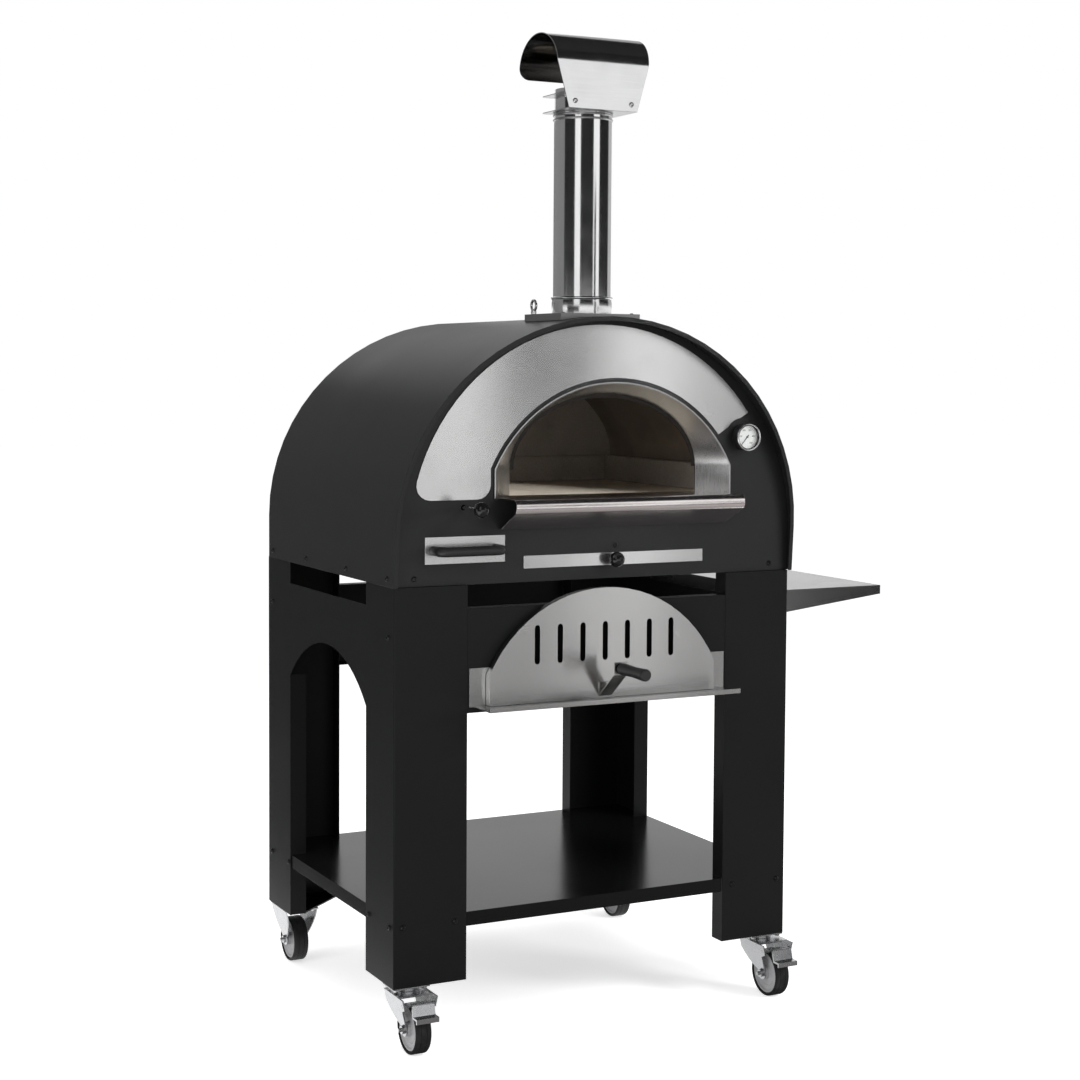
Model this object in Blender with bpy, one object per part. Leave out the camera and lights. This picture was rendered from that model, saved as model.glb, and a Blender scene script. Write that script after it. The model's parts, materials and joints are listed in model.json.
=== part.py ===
"""Wood fired oven on a wheeled sheet steel stand, one named solid for each separate piece."""
import math

import bmesh
import bpy
from mathutils import Matrix, Vector

# Clearances and sheet gauges, metres
FIT = 0.0003
SLIDE = 0.0015
SHEET = 0.002
STEEL = 0.0015
SHARP_ANGLE = 35.0

# Stand
STAND_WIDTH = 0.920
STAND_DEPTH = 0.745
STAND_TOP = 0.924
LEG_FACE = 0.158
LEG_SIDE = 0.147
LEG_RETURN = 0.040
SIDE_RETURN = 0.037
TOP_FLANGE = 0.025
FOOT_PLATE = 0.003
LEG_BEND = 0.0025
BEND_STEPS = 3
NOTCH_DROP = 0.048
ARCH_SPRING = 0.671
ARCH_RISE = 0.098
ARCH_STEPS = 18
CROSS_DROP = 0.047
REAR_CROSS_DROP = 0.070
CROSS_HEIGHT = 0.210
CROSS_DEPTH = 0.030
SHELF_TOP = 0.265
SHELF_FOLD = 0.029
SLOT_SPARE = 0.001

# Casters
CASTER_INSET = 0.040
WHEEL_RADIUS = 0.050
CASTER_HEIGHT = 0.128
TYRE_HALF = 0.017
TYRE_DEPTH = 0.0065
TYRE_ROUND = 0.004
HUB_BOSS_HALF = 0.0185
HUB_BOSS_RADIUS = 0.014
HUB_WEB_HALF = 0.0105
HUB_RIM_HALF = 0.014
HUB_RIM_DEPTH = 0.005
AXLE_RADIUS = 0.006
AXLE_HEAD_RADIUS = 0.0085
AXLE_HEAD = 0.006
AXLE_TIP_RADIUS = 0.004
AXLE_TIP = 0.006
AXLE_SPARE = 0.0001
WHEEL_STEPS = 20
AXLE_STEPS = 16
FORK_SPARE = 0.001
FORK_SHEET = 0.003
FORK_FLARE = 0.016
FORK_BULGE = 0.005
FORK_BULGE_STEPS = 4
FORK_EYE = 0.014
FORK_EYE_LEAN = 22.0
FORK_EYE_STEPS = 8
PLATE_SHEET = 0.003
PLATE_HALF = 0.0395
SWIVEL_SET_BACK = 0.030
SWIVEL_TRAIL = 0.042
SWIVEL_PLATE_HALF = 0.0285
RACE_HEIGHT = 0.007
RACE_RADIUS = 0.023
CROWN_REACH = 0.024
CROWN_SIDE = 0.024
REAR_SET_BACK = 0.062
REAR_PLATE_HALF = 0.052
REAR_FORK_HALF = 0.049
REAR_FORK_SIDE = 0.014
PEDAL_AHEAD = 0.022
PEDAL_RISE = 0.054
PEDAL_BARREL = 0.005
PEDAL_PIN = 0.003
PEDAL_EAR = 0.007
PEDAL_HALF = 0.024
PEDAL_REACH = 0.046
PEDAL_STEP = 0.022
PEDAL_DROP = 0.020
PEDAL_LIP = 0.010
PEDAL_RUN = 0.006
PEDAL_SHEET = 0.004

# Tray that holds the oven door
TRAY_MARGIN = 0.004
TRAY_FLOOR_MARGIN = 0.008
TRAY_LIFT = 0.012
TRAY_BACK = 0.078
TRAY_REACH = 0.082
TRAY_LIP = 0.010

# Oven door
DOOR_SIDE_GAP = 0.0125
DOOR_ARCH_GAP = 0.0145
DOOR_CROWN_GAP = 0.0015
DOOR_DEPTH = 0.017
DOOR_SPARE = 0.0015
DOOR_STEPS = 24
SLOT_COUNT = 7
SLOT_PITCH = 0.052
SLOT_HALF = 0.006
SLOT_LENGTH = 0.080
SLOT_MIDDLE = 0.118
SLOT_STEPS = 4
BRACKET_HALF = 0.015
BRACKET_SHEET = 0.0025
BRACKET_REACH = 0.066
BRACKET_RISE = 0.052
BRACKET_FOOT = 0.030
BRACKET_TAB = 0.026
BRACKET_BASE = 0.004
GRIP_RADIUS = 0.0125
GRIP_LENGTH = 0.101
GRIP_ROUND = 0.004
GRIP_WAIST = 0.0015
GRIP_STEPS = 16

# Side shelf
SIDE_SHELF_REACH = 0.262
SIDE_SHELF_INSET = 0.020
SIDE_SHELF_ROOT = 0.050
SIDE_SHELF_TIP = 0.020
HOOK_INSET = 0.014
HOOK_DROP = 0.030

# Oven shell
SHELL_OVERHANG = 0.0045
SHELL_WALL = 0.097
SHELL_FLATTENED = 0.0235
SHELL_AHEAD = 0.009
SHELL_LEAN = 0.0645
SHELL_BACK_INSET = 0.017
SHELL_HEM = 0.009
SHELL_STEPS = 32
PANEL_SET_BACK = 0.006
BACK_RECESS = 0.026
BASE_FLANGE = 0.024

# Hearth and chamber
WOOL_SIDE = 0.0622
WOOL_SPARE = 0.0005
DECK_SET_BACK = 0.030
DECK_RISE = 0.116
CHAMBER_FRONT = 0.0553
CHAMBER_MARGIN = 0.003
CHAMBER_SHEET = 0.003
CHAMBER_SPRING = 0.222
CHAMBER_RISE = 0.234
CHAMBER_BACK_GAP = 0.0055
STONE_MARGIN = 0.004
STONE_THICK = 0.047
STONE_JOINT = 0.001
BACK_STONE = 0.024
LOW_WALL_THICK = 0.024
LOW_WALL_HEIGHT = 0.059
RUNNER_FOOT = 0.016

# Mouth
MOUTH_OFFSET = 0.036
MOUTH_RADIUS = 0.305
MOUTH_CENTRE = 0.097
MOUTH_JAMB = 0.275
MOUTH_SILL = 0.1725
MOUTH_SET_BACK = 0.004
THROAT_HALF = 0.220
THROAT_SPRING = 0.226
THROAT_RISE = 0.154
STOP_LIP = 0.008
LINER_SHEET = 0.003
LINER_STEPS = 28
PANEL_EDGE = 0.001

# Ledge under the mouth
LEDGE_HALF = 0.266
LEDGE_REACH = 0.079
LEDGE_NOSE = 0.013
LEDGE_UNDER = 0.026
LEDGE_FOOT = 0.0655
LEDGE_NOSE_STEPS = 8

# Stainless face plate
FACE_MARGIN = 0.0325
FACE_CENTRE_X = 0.005
FACE_CENTRE_Z = 0.090
FACE_GAP = 0.011
FACE_ROUND = 0.030
FACE_ROUND_STEPS = 5
FACE_END_OUTER = 35.5
FACE_END_INNER = 38.7
FACE_STEPS = 32

# Thermometer
DIAL_INSET = 0.1235
DIAL_Z = 0.289
DIAL_RADIUS = 0.029
DIAL_STAND_OFF = 0.010
DIAL_DEPTH = 0.020
DIAL_RIM = 0.0028
DIAL_LIP = 0.0017
DIAL_LIP_DEPTH = 0.0015
DIAL_RECESS = 0.010
DIAL_STEM = 0.004
DIAL_STEM_BACK = 0.045
DIAL_DISC = 0.001
DIAL_GLASS = 0.0017
DIAL_NOTCH = 0.040
NEEDLE_LENGTH = 0.020
NEEDLE_TAIL = 0.006
NEEDLE_HALF = 0.0012
NEEDLE_SHEET = 0.001
NEEDLE_HUB = 0.0022
NEEDLE_TURN = 140.0
DIAL_STEPS = 24

# Ash drawer
DRAWER_EDGE = 0.007
DRAWER_HALF = 0.0875
DRAWER_BOTTOM = 0.0435
DRAWER_HEIGHT = 0.054
DRAWER_BORDER = 0.008
DRAWER_DEPTH = 0.330
BAR_HALF = 0.068
BAR_RADIUS = 0.010
BAR_STAND_OFF = 0.038
BAR_ELBOW = 0.016
BAR_SIDES = 12
BAR_STEPS = 4

# Crumb tray
CRUMB_GAP = 0.042
CRUMB_RIGHT = 0.214
CRUMB_BOTTOM = 0.0275
CRUMB_HEIGHT = 0.026
CRUMB_BORDER = 0.003
CRUMB_SIDE = 0.010
CRUMB_DEPTH = 0.400
CRUMB_KNOB_X = 0.027
KNOB_RADIUS = 0.016
KNOB_NECK = 0.006
CRUMB_KNOB_REACH = 0.022
KNOB_STEPS = 16
KNOB_RINGS = 8

# Ash shutter
SHUTTER_OFFSET = 0.0035
SHUTTER_Z = 0.1545
SHUTTER_HALF = 0.060
SHUTTER_LENGTH = 0.052
SHUTTER_SHEET = 0.003
SHUTTER_FRONT = 0.052
SHUTTER_REACH = 0.084
ROD_RADIUS = 0.004
ROD_LAP = 0.003
ASH_SLOT_HALF = 0.055
ASH_SLOT_BACK = 0.098
ROD_STEPS = 16

# Chimney
FLUE_SET_BACK = 0.094
FLUE_RADIUS = 0.060
FLUE_TOP = 1.007
FLUE_STEPS = 32
SADDLE_HALF = 0.092
SADDLE_FRONT = 0.010
SADDLE_DEPTH = 0.166
SADDLE_LIFT = 0.0065
SADDLE_SKIRT = 0.020
COLLAR_RADIUS = 0.0625
COLLAR_HEIGHT = 0.036
EYE_X = 0.0835
EYE_BACK = 0.026
EYE_RING = 0.011
EYE_WIRE = 0.003
EYE_STEM = 0.007
EYE_FOOT = 0.006
EYE_STEPS = 12
EYE_SIDES = 8

# Cowl on the flue
YOKE_HALF = 0.080
YOKE_TOP = 0.9928
YOKE_HEIGHT = 0.0352
YOKE_AHEAD = 0.087
YOKE_BEHIND = 0.037
YOKE_ROUND = 0.012
YOKE_ROUND_STEPS = 3
COWL_HALF = 0.0995
COWL_FLAP_HALF = 0.0805
COWL_FLAP_BOTTOM = 0.953
COWL_FLAP_HEIGHT = 0.042
COWL_ROLL = 0.061
COWL_ROLL_BEHIND = 0.043
COWL_ROLL_RISE = 0.072
COWL_REAR_DROP = 0.037
COWL_ROUND = 0.025
COWL_STEPS = 12
COWL_BEND = 0.080
COWL_BEND_STEPS = 6
COWL_ROUND_STEPS = 5

# Finishes: base colour, metallic, roughness
FINISHES = {
    "stand_paint": ((0.055, 0.056, 0.058), 0.2, 0.45),
    "oven_paint": ((0.070, 0.071, 0.074), 0.2, 0.40),
    "stainless": ((0.62, 0.62, 0.62), 1.0, 0.30),
    "polished": ((0.70, 0.70, 0.70), 1.0, 0.15),
    "zinc": ((0.55, 0.56, 0.58), 1.0, 0.35),
    "black_plastic": ((0.020, 0.020, 0.020), 0.0, 0.30),
    "grey_plastic": ((0.28, 0.29, 0.30), 0.0, 0.45),
    "rubber": ((0.025, 0.025, 0.026), 0.0, 0.65),
    "refractory": ((0.62, 0.54, 0.42), 0.0, 0.85),
    "chamber_steel": ((0.23, 0.19, 0.16), 0.8, 0.50),
    "wool": ((0.75, 0.73, 0.68), 0.0, 0.95),
    "dial_white": ((0.85, 0.85, 0.83), 0.0, 0.50),
    "needle_black": ((0.02, 0.02, 0.02), 0.0, 0.45),
    "clear_glass": ((0.90, 0.92, 0.92), 0.0, 0.05),
}

# Places worked out from the sizes above
HALF = STAND_WIDTH / 2
LEG_INNER = HALF - LEG_FACE
REAR_LEG = STAND_DEPTH - LEG_SIDE
NOTCH_FLOOR = STAND_TOP - NOTCH_DROP
CROSS_TOP = STAND_TOP - CROSS_DROP
CROSS_BOTTOM = CROSS_TOP - CROSS_HEIGHT
OVEN_BOTTOM = STAND_TOP + FIT
SHELL_HALF = HALF + SHELL_OVERHANG
SHELL_RISE = SHELL_HALF - SHELL_FLATTENED
SHELL_SPRING = STAND_TOP + SHELL_WALL
SHELL_BACK = STAND_DEPTH - SHELL_BACK_INSET
PANEL_BACK = PANEL_SET_BACK + SHEET
TRIM_BACK = PANEL_SET_BACK - FIT
TRIM_FRONT = TRIM_BACK - STEEL
REAR_PANEL = SHELL_BACK - BACK_RECESS - SHEET
WOOL_HALF = SHELL_HALF - STEEL - FIT - WOOL_SIDE
DECK_HALF = WOOL_HALF - WOOL_SPARE
STONE_HALF = DECK_HALF - STONE_MARGIN
CHAMBER_HALF = STONE_HALF - CHAMBER_MARGIN - CHAMBER_SHEET
DECK_BOTTOM = OVEN_BOTTOM + SHEET + FIT
DECK_TOP = STAND_TOP + DECK_RISE
DECK_BACK = REAR_PANEL - CHAMBER_BACK_GAP
STONE_BOTTOM = DECK_TOP + FIT
STONE_TOP = STONE_BOTTOM + STONE_THICK
STONE_FRONT = CHAMBER_FRONT + SHEET + FIT
CHAMBER_FOOT = STONE_TOP + FIT
CHAMBER_SIDE_TOP = STAND_TOP + CHAMBER_SPRING
BACK_STONE_FRONT = DECK_BACK - BACK_STONE
CHAMBER_BACK = BACK_STONE_FRONT - FIT
SILL_TOP = STAND_TOP + MOUTH_SILL
MOUTH_MIDDLE = STAND_TOP + MOUTH_CENTRE
THROAT_SPRING_Z = STAND_TOP + THROAT_SPRING
LINER_BACK = CHAMBER_FRONT - FIT
SHELL_TOP = SHELL_SPRING + SHELL_RISE
SADDLE_TOP = SHELL_TOP + SADDLE_LIFT
FLUE_BOTTOM = CHAMBER_SIDE_TOP + CHAMBER_RISE + CHAMBER_SHEET + FIT
WHEEL_X = HALF - CASTER_INSET
FRONT_WHEEL_Y = SWIVEL_SET_BACK - SWIVEL_TRAIL
REAR_WHEEL_Y = STAND_DEPTH - REAR_SET_BACK
LEG_BOTTOM = CASTER_HEIGHT
CASTER_PLATE_TOP = LEG_BOTTOM - FIT
CASTER_PLATE_BOTTOM = CASTER_PLATE_TOP - PLATE_SHEET
CROWN_TOP = CASTER_PLATE_BOTTOM - RACE_HEIGHT - FIT
FORK_INNER = HUB_BOSS_HALF + FORK_SPARE
FORK_OUTER = FORK_INNER + FORK_SHEET
HINGE_Y = FRONT_WHEEL_Y - PEDAL_AHEAD
HINGE_Z = WHEEL_RADIUS + PEDAL_RISE
TRAY_HALF = LEG_INNER - TRAY_MARGIN
TRAY_FLOOR_HALF = TRAY_HALF - TRAY_FLOOR_MARGIN
TRAY_BOTTOM = CROSS_BOTTOM + TRAY_LIFT
TRAY_FLOOR = TRAY_BOTTOM + STEEL
DOOR_HALF = MOUTH_JAMB - DOOR_SIDE_GAP
DOOR_RADIUS = MOUTH_RADIUS - DOOR_ARCH_GAP
DOOR_HEIGHT = MOUTH_CENTRE + MOUTH_RADIUS - MOUTH_SILL - DOOR_CROWN_GAP
DOOR_BACK = -(FIT + STEEL + DOOR_SPARE)
DOOR_FACE = DOOR_BACK - DOOR_DEPTH
DOOR_BOTTOM = TRAY_FLOOR + FIT
BRACKET_FRONT = DOOR_FACE - FIT - BRACKET_REACH - BRACKET_SHEET
BRACKET_TAB_BOTTOM = DOOR_BOTTOM + BRACKET_BASE + BRACKET_RISE
GRIP_Z = BRACKET_TAB_BOTTOM + BRACKET_TAB / 2
GRIP_BACK = BRACKET_FRONT - FIT
GRIP_TIP = GRIP_BACK - GRIP_LENGTH
SHELF_TIP_X = HALF + FIT + SIDE_SHELF_REACH
DIAL_X = SHELL_HALF - DIAL_INSET
DIAL_CENTRE = (DIAL_X, PANEL_SET_BACK, STAND_TOP + DIAL_Z)
DIAL_FRONT = DIAL_STAND_OFF + DIAL_DEPTH
DIAL_FLOOR = DIAL_FRONT - DIAL_RECESS
FACE_RADIUS = SHELL_HALF - FACE_MARGIN
DRAWER_X = -(DECK_HALF - DRAWER_EDGE - DRAWER_HALF)
CRUMB_START = DRAWER_X + DRAWER_HALF + CRUMB_GAP
CRUMB_X = (CRUMB_START + HALF - CRUMB_RIGHT) / 2
CRUMB_HALF = CRUMB_X - CRUMB_START
SHUTTER_X = DRAWER_X - SHUTTER_OFFSET
SHUTTER_LEVEL = STAND_TOP + SHUTTER_Z
YOKE_FRONT = FLUE_SET_BACK - YOKE_AHEAD
YOKE_LEVEL = STAND_TOP + YOKE_TOP
COWL_FACE = YOKE_FRONT - FIT - STEEL
SHELF_TOP_BOTTOM = NOTCH_FLOOR + FIT
BOX_SHIFT = (-(SHELF_TIP_X - SHELL_HALF) / 2, -(GRIP_TIP + STAND_DEPTH) / 2, 0.0)

AXES = {"X": (1, 2, 0), "Y": (0, 2, 1), "Z": (0, 1, 2)}

for leftover in list(bpy.data.objects):
    bpy.data.objects.remove(leftover, do_unlink=True)


def make_finishes():
    """One material with a Principled shader for each finish."""
    made = {}
    for name, (colour, metallic, roughness) in FINISHES.items():
        finish = bpy.data.materials.new(name)
        finish.use_nodes = True
        shader = finish.node_tree.nodes["Principled BSDF"]
        shader.inputs["Base Color"].default_value = (*colour, 1.0)
        shader.inputs["Metallic"].default_value = metallic
        shader.inputs["Roughness"].default_value = roughness
        made[name] = finish
    return made


LOOKS = make_finishes()


def holder(name, spot, parent=None):
    """An empty on a joint axis or at the root, with its place kept in the stand's own frame."""
    empty = bpy.data.objects.new(name, None)
    bpy.context.scene.collection.objects.link(empty)
    empty.parent = parent
    empty["spot"] = spot
    if parent is None:
        empty.location = BOX_SHIFT
    else:
        empty.location = Vector(spot) - Vector(parent["spot"])
    return empty


ROOT = holder("oven_root", (0.0, 0.0, 0.0))


def piece(name, form, finish, parent=ROOT):
    """Turn a mesh built in the stand's frame into a named object on its parent's origin."""
    bmesh.ops.translate(form, vec=-Vector(parent["spot"]), verts=form.verts)
    bmesh.ops.recalc_face_normals(form, faces=form.faces)
    mesh = bpy.data.meshes.new(name)
    form.to_mesh(mesh)
    form.free()
    mesh.shade_smooth()
    mesh.set_sharp_from_angle(angle=math.radians(SHARP_ANGLE))
    mesh.materials.append(LOOKS[finish])
    made = bpy.data.objects.new(name, mesh)
    bpy.context.scene.collection.objects.link(made)
    made.parent = parent
    return made


def box(x_range, y_range, z_range):
    """A block between the given limits."""
    form = bmesh.new()
    bmesh.ops.create_cube(form, size=1.0)
    low = Vector((min(x_range), min(y_range), min(z_range)))
    high = Vector((max(x_range), max(y_range), max(z_range)))
    bmesh.ops.scale(form, vec=high - low, verts=form.verts)
    bmesh.ops.translate(form, vec=(high + low) / 2, verts=form.verts)
    return form


def prism(outline, axis, start, end):
    """An outline in the plane across an axis, extruded between two places on it."""
    first, second, along = AXES[axis]
    form = bmesh.new()
    corners = []
    for a, b in outline:
        spot = [0.0, 0.0, 0.0]
        spot[first] = a
        spot[second] = b
        spot[along] = start
        corners.append(form.verts.new(spot))
    face = form.faces.new(corners)
    raised = bmesh.ops.extrude_face_region(form, geom=[face])
    moved = [item for item in raised["geom"] if isinstance(item, bmesh.types.BMVert)]
    shift = [0.0, 0.0, 0.0]
    shift[along] = end - start
    bmesh.ops.translate(form, vec=shift, verts=moved)
    bmesh.ops.recalc_face_normals(form, faces=form.faces)
    return form


def pan(x_range, y_range, z_range, wall, open_way):
    """A block hollowed from one side to a folded sheet pan."""
    form = box(x_range, y_range, z_range)
    way = Vector(open_way)
    extents = Vector((x_range[1] - x_range[0], y_range[1] - y_range[0], z_range[1] - z_range[0]))
    depth = abs(way.dot(extents)) - wall
    mouth = [face for face in form.faces if face.normal.dot(way) > 0.9]
    bmesh.ops.inset_region(form, faces=mouth, thickness=wall, use_even_offset=True)
    sunk = bmesh.ops.extrude_discrete_faces(form, faces=mouth)
    corners = {vert for face in sunk["faces"] for vert in face.verts}
    bmesh.ops.translate(form, vec=-way * depth, verts=list(corners))
    return form


def aim(form, axis, centre):
    """Turn a mesh built along Z so that it runs along another axis, then put it in place."""
    turns = {"X": Matrix.Rotation(math.pi / 2, 4, "Y"), "Z": Matrix.Identity(4)}
    turns["-Y"] = Matrix.Rotation(math.pi / 2, 4, "X")
    form.transform(Matrix.Translation(Vector(centre)) @ turns[axis])
    bmesh.ops.recalc_face_normals(form, faces=form.faces)
    return form


def lathe(profile, axis, centre, steps, ring=False):
    """Spin a profile of radius and height once round an axis; a ring profile closes on itself."""
    form = bmesh.new()
    verts = [form.verts.new((radius, 0.0, height)) for radius, height in profile]
    edges = [form.edges.new(pair) for pair in zip(verts, verts[1:])]
    if ring:
        edges.append(form.edges.new((verts[-1], verts[0])))
    bmesh.ops.spin(form, geom=verts + edges, cent=(0, 0, 0), axis=(0, 0, 1), dvec=(0, 0, 0),
                   angle=math.tau, steps=steps, use_merge=True, use_duplicate=False)
    bmesh.ops.remove_doubles(form, verts=form.verts, dist=0.000001)
    return aim(form, axis, centre)


def rod(axis, centre, radius, start, end, steps):
    """A plain round bar along an axis."""
    return lathe([(0.0, start), (radius, start), (radius, end), (0.0, end)], axis, centre, steps)


def sweep(sections):
    """Skin a row of matching closed sections and cap both ends."""
    form = bmesh.new()
    rings = [[form.verts.new(spot) for spot in section] for section in sections]
    count = len(rings[0])
    for ring, following in zip(rings, rings[1:]):
        for index in range(count):
            beside = (index + 1) % count
            form.faces.new((ring[index], ring[beside], following[beside], following[index]))
    form.faces.new(rings[0])
    form.faces.new(rings[-1])
    bmesh.ops.recalc_face_normals(form, faces=form.faces)
    return form


def helper(form):
    """A mesh put in the scene for the length of one boolean."""
    mesh = bpy.data.meshes.new("helper")
    form.to_mesh(mesh)
    form.free()
    made = bpy.data.objects.new("helper", mesh)
    bpy.context.scene.collection.objects.link(made)
    made.hide_render = True
    made.display_type = "WIRE"
    return made


def combine(form, tools, operation):
    """Boolean a mesh with each tool in turn and tidy the flat faces that result."""
    target = helper(form)
    cutters = [helper(tool) for tool in tools]
    for cutter in cutters:
        step = target.modifiers.new("step", "BOOLEAN")
        step.operation = operation
        step.solver = "EXACT"
        step.object = cutter
    shaped = target.evaluated_get(bpy.context.evaluated_depsgraph_get())
    result = bmesh.new()
    result.from_mesh(shaped.to_mesh())
    shaped.to_mesh_clear()
    for used in [target, *cutters]:
        mesh = used.data
        bpy.data.objects.remove(used, do_unlink=True)
        bpy.data.meshes.remove(mesh)
    bmesh.ops.remove_doubles(result, verts=result.verts, dist=0.00001)
    bmesh.ops.dissolve_limit(result, angle_limit=0.001, verts=result.verts, edges=result.edges)
    bmesh.ops.recalc_face_normals(result, faces=result.faces)
    return result


def fuse(form, tools):
    return combine(form, tools, "UNION")


def cut(form, tools):
    return combine(form, tools, "DIFFERENCE")


def soften(form, chosen, width, segments):
    """Round the edges that pass the given test."""
    edges = [edge for edge in form.edges if chosen(edge)]
    bmesh.ops.bevel(form, geom=edges, offset=width, affect="EDGES", segments=segments,
                    profile=0.5, material=-1, clamp_overlap=True)
    return form


def mirrored(form):
    """The same mesh on the other side of the middle plane."""
    form.transform(Matrix.Scale(-1, 4, (1, 0, 0)))
    bmesh.ops.reverse_faces(form, faces=form.faces)
    return form


def inset_line(points, thickness):
    """A bent line set over by a sheet's thickness, mitred at its corners."""
    spots = [Vector(point) for point in points]
    ways = []
    for spot, following in zip(spots, spots[1:]):
        way = (following - spot).normalized()
        ways.append(Vector((way.y, -way.x)))
    ways = [ways[0], *ways, ways[-1]]
    inner = []
    for spot, before, after in zip(spots, ways, ways[1:]):
        inner.append(spot + (before + after) * (thickness / (1 + before.dot(after))))
    return [tuple(spot) for spot in inner]


def bent_sheet(points, thickness):
    """Closed outline of a sheet bent along a line."""
    return list(points) + inset_line(points, thickness)[::-1]


def arc(centre, radius, start, end, steps):
    """Points on a circle between two angles in degrees."""
    spots = []
    for step in range(steps + 1):
        turn = math.radians(start + (end - start) * step / steps)
        spots.append((centre[0] + radius * math.cos(turn), centre[1] + radius * math.sin(turn)))
    return spots


def bowed(start, end, depth, steps):
    """Points between two spots on a line that bulges to its left."""
    first = Vector(start)
    way = Vector(end) - first
    side = Vector((-way.y, way.x)).normalized()
    spots = []
    for step in range(1, steps):
        share = step / steps
        spots.append(tuple(first + way * share + side * (4 * depth * share * (1 - share))))
    return spots


def arch(half, foot, spring, rise, steps, middle=0.0):
    """Points of an arch on straight sides, left foot to right foot."""
    line = [(middle - half, foot)]
    for step in range(steps + 1):
        turn = math.pi * (1 - step / steps)
        line.append((middle + half * math.cos(turn), spring + rise * math.sin(turn)))
    line.append((middle + half, foot))
    return line


def segment_arch(half, radius, foot, crown, steps, middle=0.0):
    """Points of a flat round arch on straight sides, left foot to right foot."""
    centre = (middle, crown - radius)
    lean = math.degrees(math.acos(half / radius))
    curve = arc(centre, radius, 180.0 - lean, lean, steps)
    return [(middle - half, foot), *curve, (middle + half, foot)]


def arch_skin(inner, outer, start, end):
    """A vaulted sheet between two matching arches."""
    sections = []
    for (ax, az), (bx, bz) in zip(inner, outer):
        sections.append([(ax, start, az), (bx, start, bz), (bx, end, bz), (ax, end, az)])
    return sweep(sections)


def side_frame():
    """Right-hand side of the stand: folded sheet with arch, notch, edge returns, flanges and foot plates."""
    span = REAR_LEG - LEG_SIDE
    radius = (span * span / 4 + ARCH_RISE * ARCH_RISE) / (2 * ARCH_RISE)
    bend = HALF - LEG_BEND
    fold = [(LEG_INNER, LEG_RETURN), (LEG_INNER, 0.0)]
    fold += arc((bend, LEG_BEND), LEG_BEND, -90.0, 0.0, BEND_STEPS)
    fold += arc((bend, STAND_DEPTH - LEG_BEND), LEG_BEND, 0.0, 90.0, BEND_STEPS)
    fold += [(LEG_INNER, STAND_DEPTH), (LEG_INNER, STAND_DEPTH - LEG_RETURN)]
    sheet = prism(bent_sheet(fold, -SHEET), "Z", LEG_BOTTOM, STAND_TOP)
    opening = segment_arch(span / 2, radius, LEG_BOTTOM - SHEET, ARCH_SPRING + ARCH_RISE, ARCH_STEPS,
                           STAND_DEPTH / 2)
    through = (HALF - 2 * SHEET, HALF + SHEET)
    notch = box(through, (LEG_SIDE, REAR_LEG), (NOTCH_FLOOR, STAND_TOP + SHEET))
    sheet = cut(sheet, [prism(opening, "X", *through), notch])
    inside = SHEET / 2
    parts = []
    for face, way in ((0.0, 1), (STAND_DEPTH, -1)):
        wall = face + way * inside
        edge = face + way * (LEG_SIDE - FIT)
        flange = (STAND_TOP - FIT - SHEET, STAND_TOP - FIT)
        parts.append(box((HALF - SIDE_RETURN, HALF - inside), (edge - way * SHEET, edge),
                         (LEG_BOTTOM + FIT, ARCH_SPRING - FIT)))
        tip = edge - way * inside
        foot = [(LEG_INNER + inside, wall), (HALF - inside, wall), (HALF - inside, tip),
                (HALF - SIDE_RETURN + inside, tip), (LEG_INNER + inside, face + way * (LEG_RETURN - FIT))]
        parts.append(prism(foot, "Z", LEG_BOTTOM + 2 * FIT, LEG_BOTTOM + 2 * FIT + FOOT_PLATE))
        parts.append(box((LEG_INNER + inside, HALF - TOP_FLANGE), (wall, face + way * TOP_FLANGE), flange))
        parts.append(box((HALF - TOP_FLANGE - SHEET, HALF - inside), (wall + way * FIT, edge - way * FIT),
                         (flange[0] - FIT, flange[1] - FIT)))
    return fuse(sheet, parts)


def bottom_shelf():
    """Folded shelf with slots that let the legs' inner folds pass."""
    margin = SHEET + FIT
    form = pan((-HALF + margin, HALF - margin), (margin, STAND_DEPTH - margin),
               (SHELF_TOP - SHELF_FOLD, SHELF_TOP), SHEET, (0, 0, -1))
    through = (SHELF_TOP - 2 * SHELF_FOLD, SHELF_TOP + SHELF_FOLD)
    slots = []
    for side in (-1, 1):
        fold = (side * (LEG_INNER - SLOT_SPARE), side * (LEG_INNER + SHEET + SLOT_SPARE))
        edge = (side * (HALF - SIDE_RETURN - SLOT_SPARE), side * (HALF + SHEET))
        for face, way in ((0.0, 1), (STAND_DEPTH, -1)):
            deep = (face - way * SHEET, face + way * (LEG_RETURN + SLOT_SPARE))
            leg_edge = face + way * LEG_SIDE
            slots.append(box(fold, deep, through))
            slots.append(box(edge, (leg_edge - way * (SHEET + SLOT_SPARE), leg_edge + way * SLOT_SPARE),
                             through))
    return cut(form, slots)


def door_tray():
    """Stainless holder bent to a back plate, a shorter floor and an upturned lip."""
    line = [(-TRAY_REACH, TRAY_BOTTOM + TRAY_LIP), (-TRAY_REACH, TRAY_BOTTOM), (-FIT, TRAY_BOTTOM),
            (-FIT, TRAY_BOTTOM + TRAY_BACK)]
    form = prism(bent_sheet(line, -STEEL), "X", -TRAY_HALF, TRAY_HALF)
    ends = []
    for side in (-1, 1):
        ends.append(box((side * TRAY_FLOOR_HALF, side * (TRAY_HALF + STEEL)),
                        (-TRAY_REACH - STEEL, -FIT - 2 * STEEL),
                        (TRAY_BOTTOM - STEEL, TRAY_BOTTOM + TRAY_LIP + STEEL)))
    return cut(form, ends)


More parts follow.
